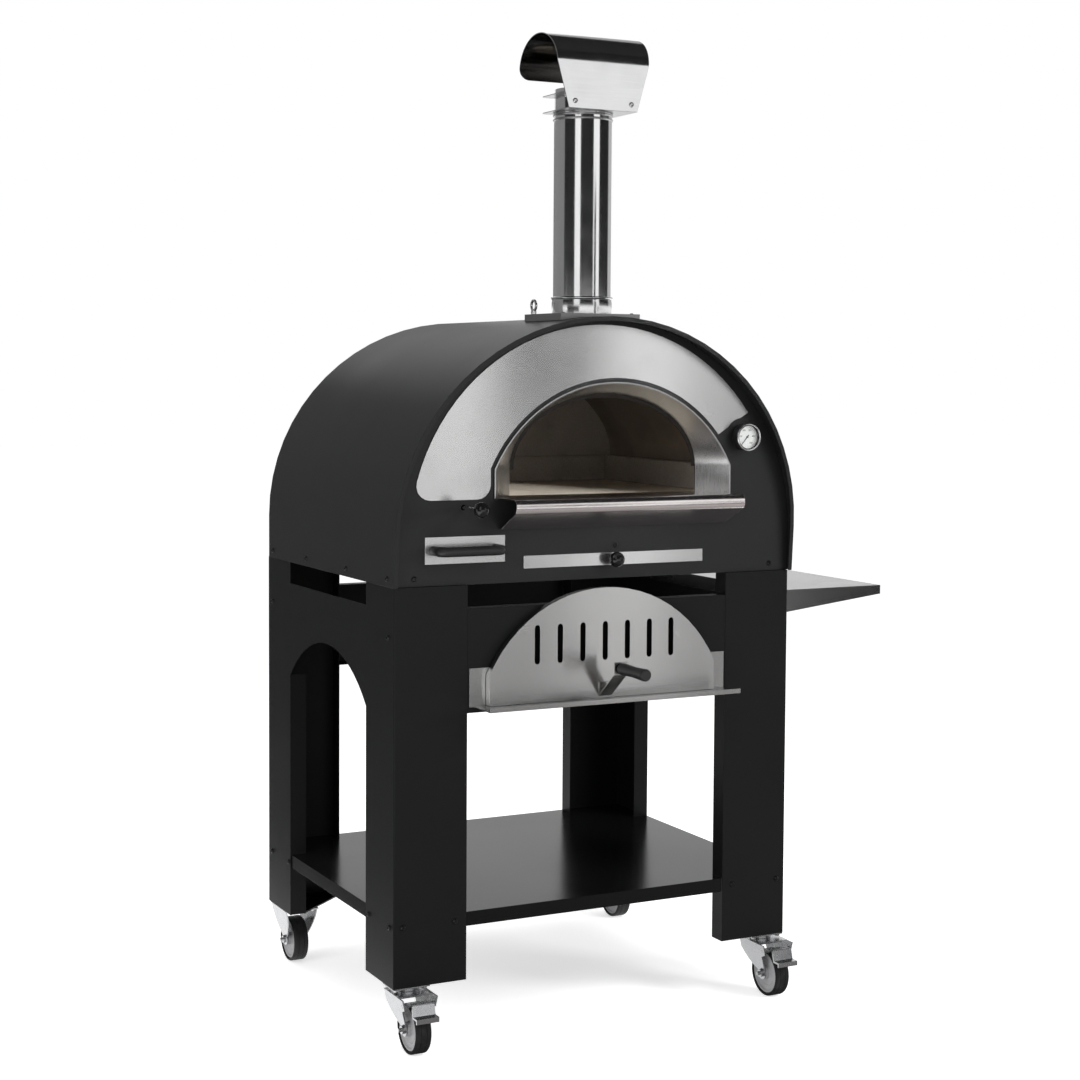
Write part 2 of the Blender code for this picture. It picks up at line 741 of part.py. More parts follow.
def side_shelf():
    """Stainless shelf with tapered end flanges and a hook for the notch in the stand's side."""
    root = HALF + FIT
    top = SHELF_TOP_BOTTOM + STEEL
    front = SIDE_SHELF_INSET
    back = STAND_DEPTH - SIDE_SHELF_INSET
    hook_back = HALF - SHEET - FIT - STEEL
    line = [(hook_back, top - HOOK_DROP), (hook_back, top), (SHELF_TIP_X, top),
            (SHELF_TIP_X, top - SIDE_SHELF_TIP)]
    form = prism(bent_sheet(line, STEEL), "Y", front, back)
    clear = (hook_back - STEEL, root)
    drop = (top - HOOK_DROP - STEEL, top + STEEL)
    beside = [box(clear, (front - STEEL, LEG_SIDE + HOOK_INSET), drop),
              box(clear, (REAR_LEG - HOOK_INSET, back + STEEL), drop)]
    form = cut(form, beside)
    inside = STEEL / 2
    taper = [(root + FIT, top - inside), (SHELF_TIP_X - inside, top - inside),
             (SHELF_TIP_X - inside, top - SIDE_SHELF_TIP + FIT), (root + FIT, top - SIDE_SHELF_ROOT)]
    ends = [prism(taper, "Y", front + FIT, front + FIT + STEEL),
            prism(taper, "Y", back - FIT - STEEL, back - FIT)]
    return fuse(form, ends)


def door():
    """Arched door: a plate with a folded rim and a row of plain vent slots."""
    crown = DOOR_BOTTOM + DOOR_HEIGHT
    outline = segment_arch(DOOR_HALF, DOOR_RADIUS, DOOR_BOTTOM, crown, DOOR_STEPS)
    hollow = segment_arch(DOOR_HALF - STEEL, DOOR_RADIUS - STEEL, DOOR_BOTTOM + STEEL, crown - STEEL,
                          DOOR_STEPS)
    form = prism(outline, "Y", DOOR_FACE, DOOR_BACK)
    cutters = [prism(hollow, "Y", DOOR_FACE + STEEL, DOOR_BACK + DOOR_SPARE)]
    middle = DOOR_BOTTOM + SLOT_MIDDLE
    reach = SLOT_LENGTH / 2 - SLOT_HALF
    for index in range(SLOT_COUNT):
        x = (index - (SLOT_COUNT - 1) / 2) * SLOT_PITCH
        slot = arc((x, middle + reach), SLOT_HALF, 0.0, 180.0, SLOT_STEPS)
        slot += arc((x, middle - reach), SLOT_HALF, 180.0, 360.0, SLOT_STEPS)
        cutters.append(prism(slot, "Y", DOOR_FACE - STEEL, DOOR_FACE + 2 * STEEL))
    return cut(form, cutters)


def door_bracket():
    """Bent strip from the foot of the door out to the grip."""
    start = DOOR_FACE - FIT
    base = DOOR_BOTTOM + BRACKET_BASE
    line = [(start, base + BRACKET_FOOT), (start, base), (BRACKET_FRONT + BRACKET_SHEET, BRACKET_TAB_BOTTOM),
            (BRACKET_FRONT + BRACKET_SHEET, BRACKET_TAB_BOTTOM + BRACKET_TAB)]
    return prism(bent_sheet(line, BRACKET_SHEET), "X", -BRACKET_HALF, BRACKET_HALF)


def door_grip():
    """Turned grip with a slight waist and a rounded end."""
    neck = GRIP_RADIUS - GRIP_WAIST
    end = GRIP_LENGTH - GRIP_ROUND
    profile = [(0.0, 0.0), (neck, 0.0), (GRIP_RADIUS, GRIP_ROUND), (neck, GRIP_LENGTH / 2)]
    profile += [(GRIP_RADIUS, end - GRIP_ROUND)]
    profile += arc((GRIP_RADIUS - GRIP_ROUND, end), GRIP_ROUND, 0.0, 90.0, BEND_STEPS)
    profile += [(0.0, GRIP_LENGTH)]
    return lathe(profile, "-Y", (0.0, GRIP_BACK, GRIP_Z), GRIP_STEPS)


def hub():
    """Wheel body with a boss, a thin web and a broad rim."""
    rim = WHEEL_RADIUS - TYRE_DEPTH - FIT
    inner_rim = rim - HUB_RIM_DEPTH
    bore = AXLE_RADIUS + AXLE_SPARE
    half = [(bore, HUB_BOSS_HALF), (HUB_BOSS_RADIUS, HUB_BOSS_HALF), (HUB_BOSS_RADIUS, HUB_WEB_HALF),
            (inner_rim, HUB_WEB_HALF), (inner_rim, HUB_RIM_HALF), (rim, HUB_RIM_HALF)]
    return half + [(radius, -height) for radius, height in half[::-1]]


def tyre():
    """Tread ring with rounded shoulders."""
    inner = WHEEL_RADIUS - TYRE_DEPTH
    corner = (WHEEL_RADIUS - TYRE_ROUND, TYRE_HALF - TYRE_ROUND)
    half = [(inner, TYRE_HALF - TYRE_ROUND / 2), (inner + TYRE_ROUND / 2, TYRE_HALF)]
    half += arc(corner, TYRE_ROUND, 90.0, 0.0, BEND_STEPS)
    return half + [(radius, -height) for radius, height in half[::-1]]


def axle(centre):
    """Axle with a flat head at one end, and a nut with the axle's own tip at the other."""
    end = FORK_OUTER + AXLE_HEAD
    tip = end + AXLE_TIP
    profile = [(0.0, -tip), (AXLE_TIP_RADIUS, -tip), (AXLE_TIP_RADIUS, -end),
               (AXLE_HEAD_RADIUS, -end), (AXLE_HEAD_RADIUS, -FORK_OUTER + FIT),
               (AXLE_RADIUS, -FORK_OUTER + FIT), (AXLE_RADIUS, FORK_OUTER - FIT),
               (AXLE_HEAD_RADIUS, FORK_OUTER - FIT), (AXLE_HEAD_RADIUS, end), (0.0, end)]
    return lathe(profile, "X", centre, AXLE_STEPS)


def swivel_plate(x):
    """Bolt-on plate of a swivel caster with its ball race."""
    plate = box((x - PLATE_HALF, x + PLATE_HALF),
                (SWIVEL_SET_BACK - SWIVEL_PLATE_HALF, SWIVEL_SET_BACK + SWIVEL_PLATE_HALF),
                (CASTER_PLATE_BOTTOM, CASTER_PLATE_TOP))
    race = rod("Z", (x, SWIVEL_SET_BACK, 0.0), RACE_RADIUS, CASTER_PLATE_BOTTOM - RACE_HEIGHT,
               CASTER_PLATE_BOTTOM + FIT, WHEEL_STEPS)
    return fuse(plate, [race])


def flared(form, x, top):
    """Spread a fork's cheeks above the axle, so that it widens towards its crown."""
    geometry = [*form.verts, *form.edges, *form.faces]
    bmesh.ops.bisect_plane(form, geom=geometry, plane_co=(0, 0, WHEEL_RADIUS), plane_no=(0, 0, 1))
    for vert in form.verts:
        rise = max(vert.co.z - WHEEL_RADIUS, 0.0) / (top - WHEEL_RADIUS)
        vert.co.x += math.copysign(FORK_FLARE * rise, vert.co.x - x)
    return form


def swivel_fork(x):
    """Pressed fork: crown, two flared cheeks to the axle and two ears for the pedal."""
    centre = (FRONT_WHEEL_Y, WHEEL_RADIUS)
    crown = SWIVEL_SET_BACK + CROWN_REACH
    brow = HINGE_Y - PEDAL_EAR
    shoulder = (crown, CROWN_TOP - CROWN_SIDE)
    eye = arc(centre, FORK_EYE, FORK_EYE_LEAN, -180.0 - FORK_EYE_LEAN, FORK_EYE_STEPS)
    outline = [(crown, CROWN_TOP), shoulder, *bowed(shoulder, eye[0], FORK_BULGE, FORK_BULGE_STEPS), *eye]
    outline += [(FRONT_WHEEL_Y - FORK_EYE, HINGE_Z - 2 * PEDAL_EAR), (brow, HINGE_Z - PEDAL_EAR),
                (brow, CROWN_TOP)]
    form = flared(prism(outline, "X", x - FORK_OUTER, x + FORK_OUTER), x, CROWN_TOP)
    inside = box((x - FORK_INNER, x + FORK_INNER), (brow - PEDAL_EAR, crown + CROWN_REACH),
                 (0.0, CROWN_TOP - FORK_SHEET))
    window = box((x - FORK_INNER + FIT, x + FORK_INNER - FIT), (brow - PEDAL_EAR, HINGE_Y + 2 * PEDAL_EAR),
                 (0.0, CROWN_TOP + FORK_SHEET))
    reach = FORK_OUTER + FORK_FLARE + FORK_SHEET
    holes = rod("X", (x, HINGE_Y, HINGE_Z), PEDAL_PIN + AXLE_SPARE, -reach, reach, ROD_STEPS)
    form = cut(form, [flared(inside, x, CROWN_TOP), flared(window, x, CROWN_TOP), holes])
    return fuse(form, [axle((x, *centre))])


def brake_pedal(x):
    """Two-step foot pedal on a cross pin."""
    top = HINGE_Z + PEDAL_BARREL
    step = HINGE_Y - PEDAL_STEP
    lower = top - PEDAL_DROP
    nose = HINGE_Y - PEDAL_REACH
    line = [(HINGE_Y, top), (step, top), (step - PEDAL_RUN, lower), (nose, lower), (nose, lower - PEDAL_LIP)]
    form = prism(bent_sheet(line, -PEDAL_SHEET), "X", x - PEDAL_HALF, x + PEDAL_HALF)
    barrel = rod("X", (x, HINGE_Y, HINGE_Z), PEDAL_BARREL, FIT - PEDAL_HALF, PEDAL_HALF - FIT, ROD_STEPS)
    reach = FORK_OUTER + FORK_FLARE * (HINGE_Z - WHEEL_RADIUS) / (CROWN_TOP - WHEEL_RADIUS)
    pin = rod("X", (x, HINGE_Y, HINGE_Z), PEDAL_PIN, -reach, reach, ROD_STEPS)
    return fuse(form, [barrel, pin])


def fixed_fork(x):
    """Pressed fork of a fixed caster: plate and two flared triangular cheeks."""
    y = REAR_WHEEL_Y
    top = CASTER_PLATE_TOP - FIT
    level = CASTER_PLATE_BOTTOM - REAR_FORK_SIDE
    back = (y + REAR_FORK_HALF, level)
    front = (y - REAR_FORK_HALF, level)
    eye = arc((y, WHEEL_RADIUS), FORK_EYE, FORK_EYE_LEAN, -180.0 - FORK_EYE_LEAN, FORK_EYE_STEPS)
    outline = [(back[0], top), back, *bowed(back, eye[0], FORK_BULGE, FORK_BULGE_STEPS), *eye]
    outline += [*bowed(eye[-1], front, FORK_BULGE, FORK_BULGE_STEPS), front, (front[0], top)]
    cheeks = flared(prism(outline, "X", x - FORK_OUTER, x + FORK_OUTER), x, top)
    inside = box((x - FORK_INNER, x + FORK_INNER), (y - 2 * REAR_FORK_HALF, y + 2 * REAR_FORK_HALF),
                 (0.0, CASTER_PLATE_BOTTOM + FIT))
    cheeks = cut(cheeks, [flared(inside, x, top)])
    plate = box((x - PLATE_HALF, x + PLATE_HALF), (y - REAR_PLATE_HALF, y + REAR_PLATE_HALF),
                (CASTER_PLATE_BOTTOM, CASTER_PLATE_TOP))
    return fuse(plate, [cheeks, axle((x, y, WHEEL_RADIUS))])


def shell_arch(inset):
    """The vault's line, set in from its outer face."""
    return arch(SHELL_HALF - inset, OVEN_BOTTOM, SHELL_SPRING, SHELL_RISE - inset, SHELL_STEPS)


def shell_front(z):
    """The vault's front edge leans forward with height."""
    return -SHELL_AHEAD - SHELL_LEAN * (z - STAND_TOP)


def shell():
    """Vaulted outer sheet with an inward hem at its front and back edges."""
    sections = []
    for (ox, oz), (ix, iz), (hx, hz) in zip(shell_arch(0.0), shell_arch(STEEL), shell_arch(SHELL_HEM)):
        sections.append([
            (ox, shell_front(oz), oz), (hx, shell_front(hz), hz), (hx, shell_front(hz) + SHEET, hz),
            (ix, shell_front(iz) + SHEET, iz), (ix, SHELL_BACK - SHEET, iz), (hx, SHELL_BACK - SHEET, hz),
            (hx, SHELL_BACK, hz), (ox, SHELL_BACK, oz)])
    return cut(sweep(sections), [flue_cutter(FLUE_RADIUS + FIT)])


def flue_cutter(radius):
    """A tall round cutter on the chimney's axis."""
    return rod("Z", (0.0, FLUE_SET_BACK, 0.0), radius, STAND_TOP + CHAMBER_SPRING, STAND_TOP + FLUE_TOP,
               FLUE_STEPS)


def mouth_line(extra, foot):
    """The mouth's front arch, grown outward by a margin."""
    return segment_arch(MOUTH_JAMB + extra, MOUTH_RADIUS + extra, foot, MOUTH_MIDDLE + MOUTH_RADIUS + extra,
                        LINER_STEPS, MOUTH_OFFSET)


def throat_line(inset, foot):
    """The mouth's back arch, set in by a margin."""
    return arch(THROAT_HALF - inset, foot, THROAT_SPRING_Z, THROAT_RISE - inset, LINER_STEPS, MOUTH_OFFSET)


def mouth_liner():
    """Splayed stainless liner from the wide front arch to the narrow throat."""
    foot = SILL_TOP - SHEET
    sections = []
    lines = (mouth_line(0.0, foot), mouth_line(LINER_SHEET, foot), throat_line(-LINER_SHEET, foot),
             throat_line(0.0, foot))
    places = (MOUTH_SET_BACK, MOUTH_SET_BACK, LINER_BACK, LINER_BACK)
    for spots in zip(*lines):
        sections.append([(x, y, z) for (x, z), y in zip(spots, places)])
    return sweep(sections)


def front_panel():
    """Flat front with the mouth and the holes for what passes through it."""
    form = prism(shell_arch(STEEL + FIT), "Y", PANEL_SET_BACK, PANEL_BACK)
    through = (PANEL_SET_BACK - SHEET, PANEL_BACK + SHEET)
    mouth = prism(mouth_line(LINER_SHEET + PANEL_EDGE, SILL_TOP - SHEET - FIT), "Y", *through)
    length = (-through[1], -through[0])
    rod_hole = rod("-Y", (SHUTTER_X, 0.0, SHUTTER_LEVEL), ROD_RADIUS + SLIDE, *length, ROD_STEPS)
    stem_hole = rod("-Y", (DIAL_X, 0.0, DIAL_CENTRE[2]), DIAL_STEM + FIT, *length, ROD_STEPS)
    drawer_hole = box(*drawer_room(SLIDE, through))
    crumb_hole = box(*crumb_room(SLIDE, through))
    return cut(form, [mouth, rod_hole, stem_hole, drawer_hole, crumb_hole])


def drawer_room(spare, y_range):
    """The ash drawer's box with a margin all round."""
    half = DRAWER_HALF - DRAWER_BORDER + spare
    low = STAND_TOP + DRAWER_BOTTOM + DRAWER_BORDER - spare
    high = STAND_TOP + DRAWER_BOTTOM + DRAWER_HEIGHT - DRAWER_BORDER + spare
    return (DRAWER_X - half, DRAWER_X + half), y_range, (low, high)


def crumb_room(spare, y_range):
    """The crumb tray's box with a margin all round."""
    half = CRUMB_HALF - CRUMB_SIDE + spare
    low = STAND_TOP + CRUMB_BOTTOM + CRUMB_BORDER - spare
    high = STAND_TOP + CRUMB_BOTTOM + CRUMB_HEIGHT - CRUMB_BORDER + spare
    return (CRUMB_X - half, CRUMB_X + half), y_range, (low, high)


def ash_drawer():
    """Open drawer behind a stainless front plate."""
    front = box((DRAWER_X - DRAWER_HALF, DRAWER_X + DRAWER_HALF), (TRIM_FRONT, TRIM_BACK),
                (STAND_TOP + DRAWER_BOTTOM, STAND_TOP + DRAWER_BOTTOM + DRAWER_HEIGHT))
    body = pan(*drawer_room(0.0, (TRIM_BACK - FIT, TRIM_BACK + DRAWER_DEPTH)), STEEL, (0, 0, 1))
    return fuse(front, [body])


def crumb_tray():
    """Shallow tray behind a narrow stainless strip."""
    front = box((CRUMB_X - CRUMB_HALF, CRUMB_X + CRUMB_HALF), (TRIM_FRONT, TRIM_BACK),
                (STAND_TOP + CRUMB_BOTTOM, STAND_TOP + CRUMB_BOTTOM + CRUMB_HEIGHT))
    body = pan(*crumb_room(0.0, (TRIM_BACK - FIT, TRIM_BACK + CRUMB_DEPTH)), STEEL, (0, 0, 1))
    return fuse(front, [body])


def bar_handle():
    """Round bar bent back to the drawer front at both ends."""
    z = STAND_TOP + DRAWER_BOTTOM + DRAWER_HEIGHT / 2
    foot = TRIM_FRONT - FIT
    out = foot - BAR_STAND_OFF
    left = DRAWER_X - BAR_HALF
    right = DRAWER_X + BAR_HALF
    path = [(left, foot)]
    path += arc((left + BAR_ELBOW, out + BAR_ELBOW), BAR_ELBOW, 180.0, 270.0, BAR_STEPS)
    path += arc((right - BAR_ELBOW, out + BAR_ELBOW), BAR_ELBOW, 270.0, 360.0, BAR_STEPS)
    path += [(right, foot)]
    spots = [Vector(spot) for spot in path]
    ways = [Vector((0.0, -1.0))]
    for before, after in zip(spots, spots[2:]):
        ways.append((after - before).normalized())
    ways.append(Vector((0.0, 1.0)))
    sections = []
    for spot, way in zip(spots, ways):
        across = Vector((-way.y, way.x))
        ring = []
        for a, b in arc((0.0, 0.0), BAR_RADIUS, 0.0, 360.0, BAR_SIDES)[:-1]:
            ring.append((spot.x + across.x * a, spot.y + across.y * a, z + b))
        sections.append(ring)
    return sweep(sections)


def ball_knob(centre, reach):
    """Ball on a short neck, its neck pointing back along Y."""
    lean = math.degrees(math.asin(KNOB_NECK / KNOB_RADIUS))
    profile = [(0.0, -reach), (KNOB_NECK, -reach)]
    profile += arc((0.0, 0.0), KNOB_RADIUS, -90.0 + lean, 90.0, KNOB_RINGS)[:-1]
    profile += [(0.0, KNOB_RADIUS)]
    return lathe(profile, "-Y", centre, KNOB_STEPS)


def ash_shutter():
    """Flat slide that closes the ash slot, with its pull rod."""
    top = SHUTTER_LEVEL + SHUTTER_SHEET / 2
    plate = box((SHUTTER_X - SHUTTER_HALF, SHUTTER_X + SHUTTER_HALF),
                (SHUTTER_FRONT, SHUTTER_FRONT + SHUTTER_LENGTH), (top - SHUTTER_SHEET, top))
    start = -(SHUTTER_FRONT + ROD_LAP)
    end = SHUTTER_REACH - PANEL_SET_BACK - KNOB_RADIUS - FIT
    pull = rod("-Y", (SHUTTER_X, 0.0, SHUTTER_LEVEL), ROD_RADIUS, start, end, ROD_STEPS)
    return fuse(plate, [pull])


def floor_stone(side):
    """Half of the hearth; the left half has the ash slot and the shutter's rebate."""
    form = box((side * STONE_JOINT / 2, side * STONE_HALF), (STONE_FRONT, DECK_BACK),
               (STONE_BOTTOM, STONE_TOP))
    if side > 0:
        return form
    ahead = STONE_FRONT - SLIDE
    slot = box((SHUTTER_X - ASH_SLOT_HALF, SHUTTER_X + ASH_SLOT_HALF), (ahead, ASH_SLOT_BACK),
               (STONE_BOTTOM - SLIDE, STONE_TOP + SLIDE))
    half = SHUTTER_HALF + SLIDE
    rebate = box((SHUTTER_X - half, SHUTTER_X + half), (ahead, SHUTTER_FRONT + SHUTTER_LENGTH + SLIDE),
                 (SHUTTER_LEVEL - SHUTTER_SHEET / 2 - FIT, STONE_TOP + SLIDE))
    return cut(form, [slot, rebate])


def deck():
    """Steel bridge under the hearth with the drawer's and the tray's runners hanging from it."""
    line = [(-DECK_HALF, DECK_BOTTOM), (-DECK_HALF, DECK_TOP), (DECK_HALF, DECK_TOP),
            (DECK_HALF, DECK_BOTTOM)]
    form = prism(bent_sheet(line, SHEET), "Y", DECK_SET_BACK, DECK_BACK)
    slot = box((SHUTTER_X - ASH_SLOT_HALF, SHUTTER_X + ASH_SLOT_HALF), (STONE_FRONT, ASH_SLOT_BACK),
               (DECK_TOP - 2 * SHEET, DECK_TOP + SHEET))
    form = cut(form, [slot])
    runners = []
    for room, depth in ((drawer_room(SLIDE, None), DRAWER_DEPTH), (crumb_room(SLIDE, None), CRUMB_DEPTH)):
        (left, right), _, (low, _) = room
        rest = low - FIT
        for edge, way in ((left, -1), (right, 1)):
            web = edge + way * FIT
            toe = edge - way * RUNNER_FOOT
            line = [(web + way * SHEET, DECK_TOP - SHEET / 2), (web + way * SHEET, rest - SHEET),
                    (toe, rest - SHEET), (toe, rest), (web, rest), (web, DECK_TOP - SHEET / 2)]
            runners.append(prism(line, "Y", DECK_SET_BACK + SHEET, depth))
    return fuse(form, runners)


def chamber_arch(extra):
    """The chamber vault's line, grown outward by a margin."""
    return arch(CHAMBER_HALF + extra, CHAMBER_FOOT, CHAMBER_SIDE_TOP, CHAMBER_RISE + extra, SHELL_STEPS)


def chamber_front():
    """Inner front wall; its arch stands in from the liner as a stop for the door."""
    form = prism(chamber_arch(CHAMBER_SHEET), "Y", CHAMBER_FRONT, CHAMBER_FRONT + SHEET)
    through = (CHAMBER_FRONT - SHEET, CHAMBER_FRONT + 2 * SHEET)
    arched = throat_line(STOP_LIP, THROAT_SPRING_Z)[1:-1]
    left = MOUTH_OFFSET - THROAT_HALF
    right = MOUTH_OFFSET + THROAT_HALF
    foot = CHAMBER_FOOT - SLIDE
    opening = [(left, foot), (left, THROAT_SPRING_Z), *arched, (right, THROAT_SPRING_Z), (right, foot)]
    return cut(form, [prism(opening, "Y", *through)])


def chamber_vault():
    form = arch_skin(chamber_arch(0.0), chamber_arch(CHAMBER_SHEET), STONE_FRONT, CHAMBER_BACK)
    return cut(form, [flue_cutter(FLUE_RADIUS - STEEL)])


def insulation():
    """Blanket between the chamber and the shell."""
    foot = OVEN_BOTTOM + BASE_FLANGE + FIT
    crown = CHAMBER_RISE + CHAMBER_SHEET + FIT
    inner = arch(WOOL_HALF, foot, CHAMBER_SIDE_TOP, crown, SHELL_STEPS)
    outer = [(x, max(z, foot)) for x, z in shell_arch(STEEL + FIT)]
    form = arch_skin(inner, outer, STONE_FRONT, REAR_PANEL - FIT)
    return cut(form, [flue_cutter(FLUE_RADIUS + SLIDE)])


def ledge():
    """Bent sill: a slanted underside, a round nose, and a top that tapers into the mouth."""
    nose_y = PANEL_SET_BACK - LEDGE_REACH + LEDGE_NOSE
    centre = (nose_y, SILL_TOP - LEDGE_NOSE)
    foot = (TRIM_BACK - SHEET, SILL_TOP - LEDGE_FOOT)
    lean = math.degrees(math.atan2(foot[0] - nose_y, SILL_TOP - LEDGE_UNDER - foot[1]))
    line = [(LINER_BACK, SILL_TOP), *arc(centre, LEDGE_NOSE, 90.0, 180.0 + lean, LEDGE_NOSE_STEPS), foot]
    form = prism(bent_sheet(line, -SHEET), "X", MOUTH_OFFSET - LEDGE_HALF, MOUTH_OFFSET + LEDGE_HALF)
    narrow = (MOUTH_JAMB - THROAT_HALF) / (LINER_BACK - MOUTH_SET_BACK)
    start = MOUTH_SET_BACK + (MOUTH_JAMB - PANEL_EDGE - LEDGE_HALF) / narrow
    beyond = LINER_BACK + SHEET
    end_half = THROAT_HALF - PANEL_EDGE - SHEET * narrow
    wedges = []
    for side in (-1, 1):
        wedge = [(LEDGE_HALF, start), (end_half, beyond), (2 * LEDGE_HALF, beyond), (2 * LEDGE_HALF, start)]
        corners = [(MOUTH_OFFSET + side * x, y) for x, y in wedge]
        wedges.append(prism(corners, "Z", SILL_TOP - 2 * SHEET, SILL_TOP + SHEET))
    return cut(form, wedges)


def face_plate():
    """Curved stainless plate round the mouth with one foot and a bite for the thermometer."""
    inner = MOUTH_RADIUS + FACE_GAP
    centre = (FACE_CENTRE_X, STAND_TOP + FACE_CENTRE_Z)
    mouth = (MOUTH_OFFSET, MOUTH_MIDDLE)
    foot = SILL_TOP - LINER_SHEET
    jamb = MOUTH_OFFSET - MOUTH_JAMB - FACE_GAP
    inner_end = math.degrees(math.acos((jamb - mouth[0]) / inner))
    heel = foot + FACE_ROUND
    across = math.sqrt((FACE_RADIUS - FACE_ROUND) ** 2 - (heel - centre[1]) ** 2)
    outer_end = 180.0 - math.degrees(math.atan2(heel - centre[1], across))
    outline = arc(mouth, inner, FACE_END_INNER, inner_end, FACE_STEPS)
    outline += arc((jamb - FACE_ROUND, heel), FACE_ROUND, 0.0, -90.0, FACE_ROUND_STEPS)
    outline += arc((centre[0] - across, heel), FACE_ROUND, 270.0, outer_end, FACE_ROUND_STEPS)
    outline += arc(centre, FACE_RADIUS, outer_end, FACE_END_OUTER, FACE_STEPS)[1:]
    form = prism(outline, "Y", TRIM_FRONT, TRIM_BACK)
    bite = rod("-Y", DIAL_CENTRE, DIAL_NOTCH, -SHEET, SHEET + STEEL, DIAL_STEPS)
    return cut(form, [bite])


def thermometer_body():
    """Round case on a stem, with a lip that holds the glass."""
    bore = DIAL_RADIUS - DIAL_RIM
    lip = bore - DIAL_LIP
    profile = [(0.0, -DIAL_STEM_BACK), (DIAL_STEM, -DIAL_STEM_BACK), (DIAL_STEM, DIAL_STAND_OFF),
               (DIAL_RADIUS, DIAL_STAND_OFF), (DIAL_RADIUS, DIAL_FRONT - DIAL_LIP_DEPTH),
               (DIAL_RADIUS - DIAL_LIP_DEPTH, DIAL_FRONT), (lip, DIAL_FRONT),
               (lip, DIAL_FRONT - DIAL_LIP_DEPTH),
               (bore, DIAL_FRONT - DIAL_LIP_DEPTH), (bore, DIAL_FLOOR), (0.0, DIAL_FLOOR)]
    return lathe(profile, "-Y", DIAL_CENTRE, DIAL_STEPS)


def needle():
    """Pointer on a small hub, stored at its low reading."""
    y = PANEL_SET_BACK - DIAL_FLOOR - DIAL_DISC - 3 * FIT
    turn = math.radians(90.0 + NEEDLE_TURN)
    way = Vector((math.cos(turn), math.sin(turn)))
    side = Vector((-way.y, way.x))
    centre = Vector((DIAL_CENTRE[0], DIAL_CENTRE[2]))
    tail = centre - way * NEEDLE_TAIL
    tip = centre + way * NEEDLE_LENGTH
    outline = [tail + side * NEEDLE_HALF, tail - side * NEEDLE_HALF, tip - side * NEEDLE_HALF / 2,
               tip + side * NEEDLE_HALF / 2]
    pointer = prism([tuple(spot) for spot in outline], "Y", y, y - NEEDLE_SHEET)
    cap = rod("-Y", (DIAL_CENTRE[0], y, DIAL_CENTRE[2]), NEEDLE_HUB, 0.0, 2 * NEEDLE_SHEET, ROD_STEPS)
    return fuse(cap, [pointer])


def saddle():
    """Folded base of the chimney, its skirts cut to the vault."""
    form = pan((-SADDLE_HALF, SADDLE_HALF), (SADDLE_FRONT, SADDLE_FRONT + SADDLE_DEPTH),
               (SADDLE_TOP - SADDLE_SKIRT, SADDLE_TOP), SHEET, (0, 0, -1))
    vault = prism(shell_arch(-FIT), "Y", -SHELL_AHEAD, SHELL_BACK)
    return cut(form, [vault, flue_cutter(FLUE_RADIUS + FIT)])


def lifting_eye():
    """Ring on a short stem."""
    x = -EYE_X
    y = SADDLE_FRONT + SADDLE_DEPTH - EYE_BACK
    z = SADDLE_TOP + FIT
    stem = rod("Z", (x, y, z), EYE_FOOT, 0.0, EYE_STEM, EYE_STEPS)
    wire = arc((EYE_RING, 0.0), EYE_WIRE, 0.0, 360.0, EYE_SIDES)[:-1]
    ring = lathe(wire, "X", (x, y, z + EYE_STEM + EYE_RING), EYE_STEPS, ring=True)
    return fuse(stem, [ring])


def tube(inner, outer, low, high):
    """A round tube on the chimney's axis."""
    return lathe([(inner, low), (outer, low), (outer, high), (inner, high)], "Z", (0.0, FLUE_SET_BACK, 0.0),
                 FLUE_STEPS, ring=True)


def cowl_yoke():
    """Bracket bent to two jaws that go round the flue."""
    back = FLUE_SET_BACK + YOKE_BEHIND
    low = YOKE_LEVEL - YOKE_HEIGHT
    line = [(back, low), (YOKE_FRONT, low), (YOKE_FRONT, YOKE_LEVEL), (back, YOKE_LEVEL)]
    form = prism(bent_sheet(line, STEEL), "X", -YOKE_HALF, YOKE_HALF)

    def on_corner(edge):
        upright = abs(edge.verts[0].co.z - edge.verts[1].co.z) > FIT
        return upright and all(vert.co.y > back - FIT for vert in edge.verts)

    soften(form, on_corner, YOKE_ROUND, YOKE_ROUND_STEPS)
    return cut(form, [flue_cutter(FLUE_RADIUS + FIT)])


def cowl():
    """Rain cowl: front flap, slope, rolled top and rear skirt with rounded corners."""
    low = STAND_TOP + COWL_FLAP_BOTTOM
    front = (COWL_FACE + COWL_BEND, low + COWL_FLAP_HEIGHT)
    centre = (FLUE_SET_BACK + COWL_ROLL_BEHIND, front[1] + COWL_ROLL_RISE)
    span = math.hypot(centre[0] - front[0], centre[1] - front[1])
    slope = math.atan2(centre[1] - front[1], centre[0] - front[0]) + math.asin((COWL_ROLL - COWL_BEND) / span)
    lean = 90.0 + math.degrees(slope)
    line = [(COWL_FACE, low), *arc(front, COWL_BEND, 180.0, lean, COWL_BEND_STEPS),
            *arc(centre, COWL_ROLL, lean, 0.0, COWL_STEPS)]
    halves = [COWL_FLAP_HALF] + [COWL_HALF] * (len(line) - 1)
    rear = line[-1][0]
    corner = centre[1] - COWL_REAR_DROP + COWL_ROUND
    for a, b in arc((COWL_HALF - COWL_ROUND, corner), COWL_ROUND, 0.0, -90.0, COWL_ROUND_STEPS):
        line.append((rear, b))
        halves.append(a)
    sections = []
    for (ay, az), (by, bz), half in zip(line, inset_line(line, STEEL), halves):
        sections.append([(-half, ay, az), (half, ay, az), (half, by, bz), (-half, by, bz)])
    return sweep(sections)


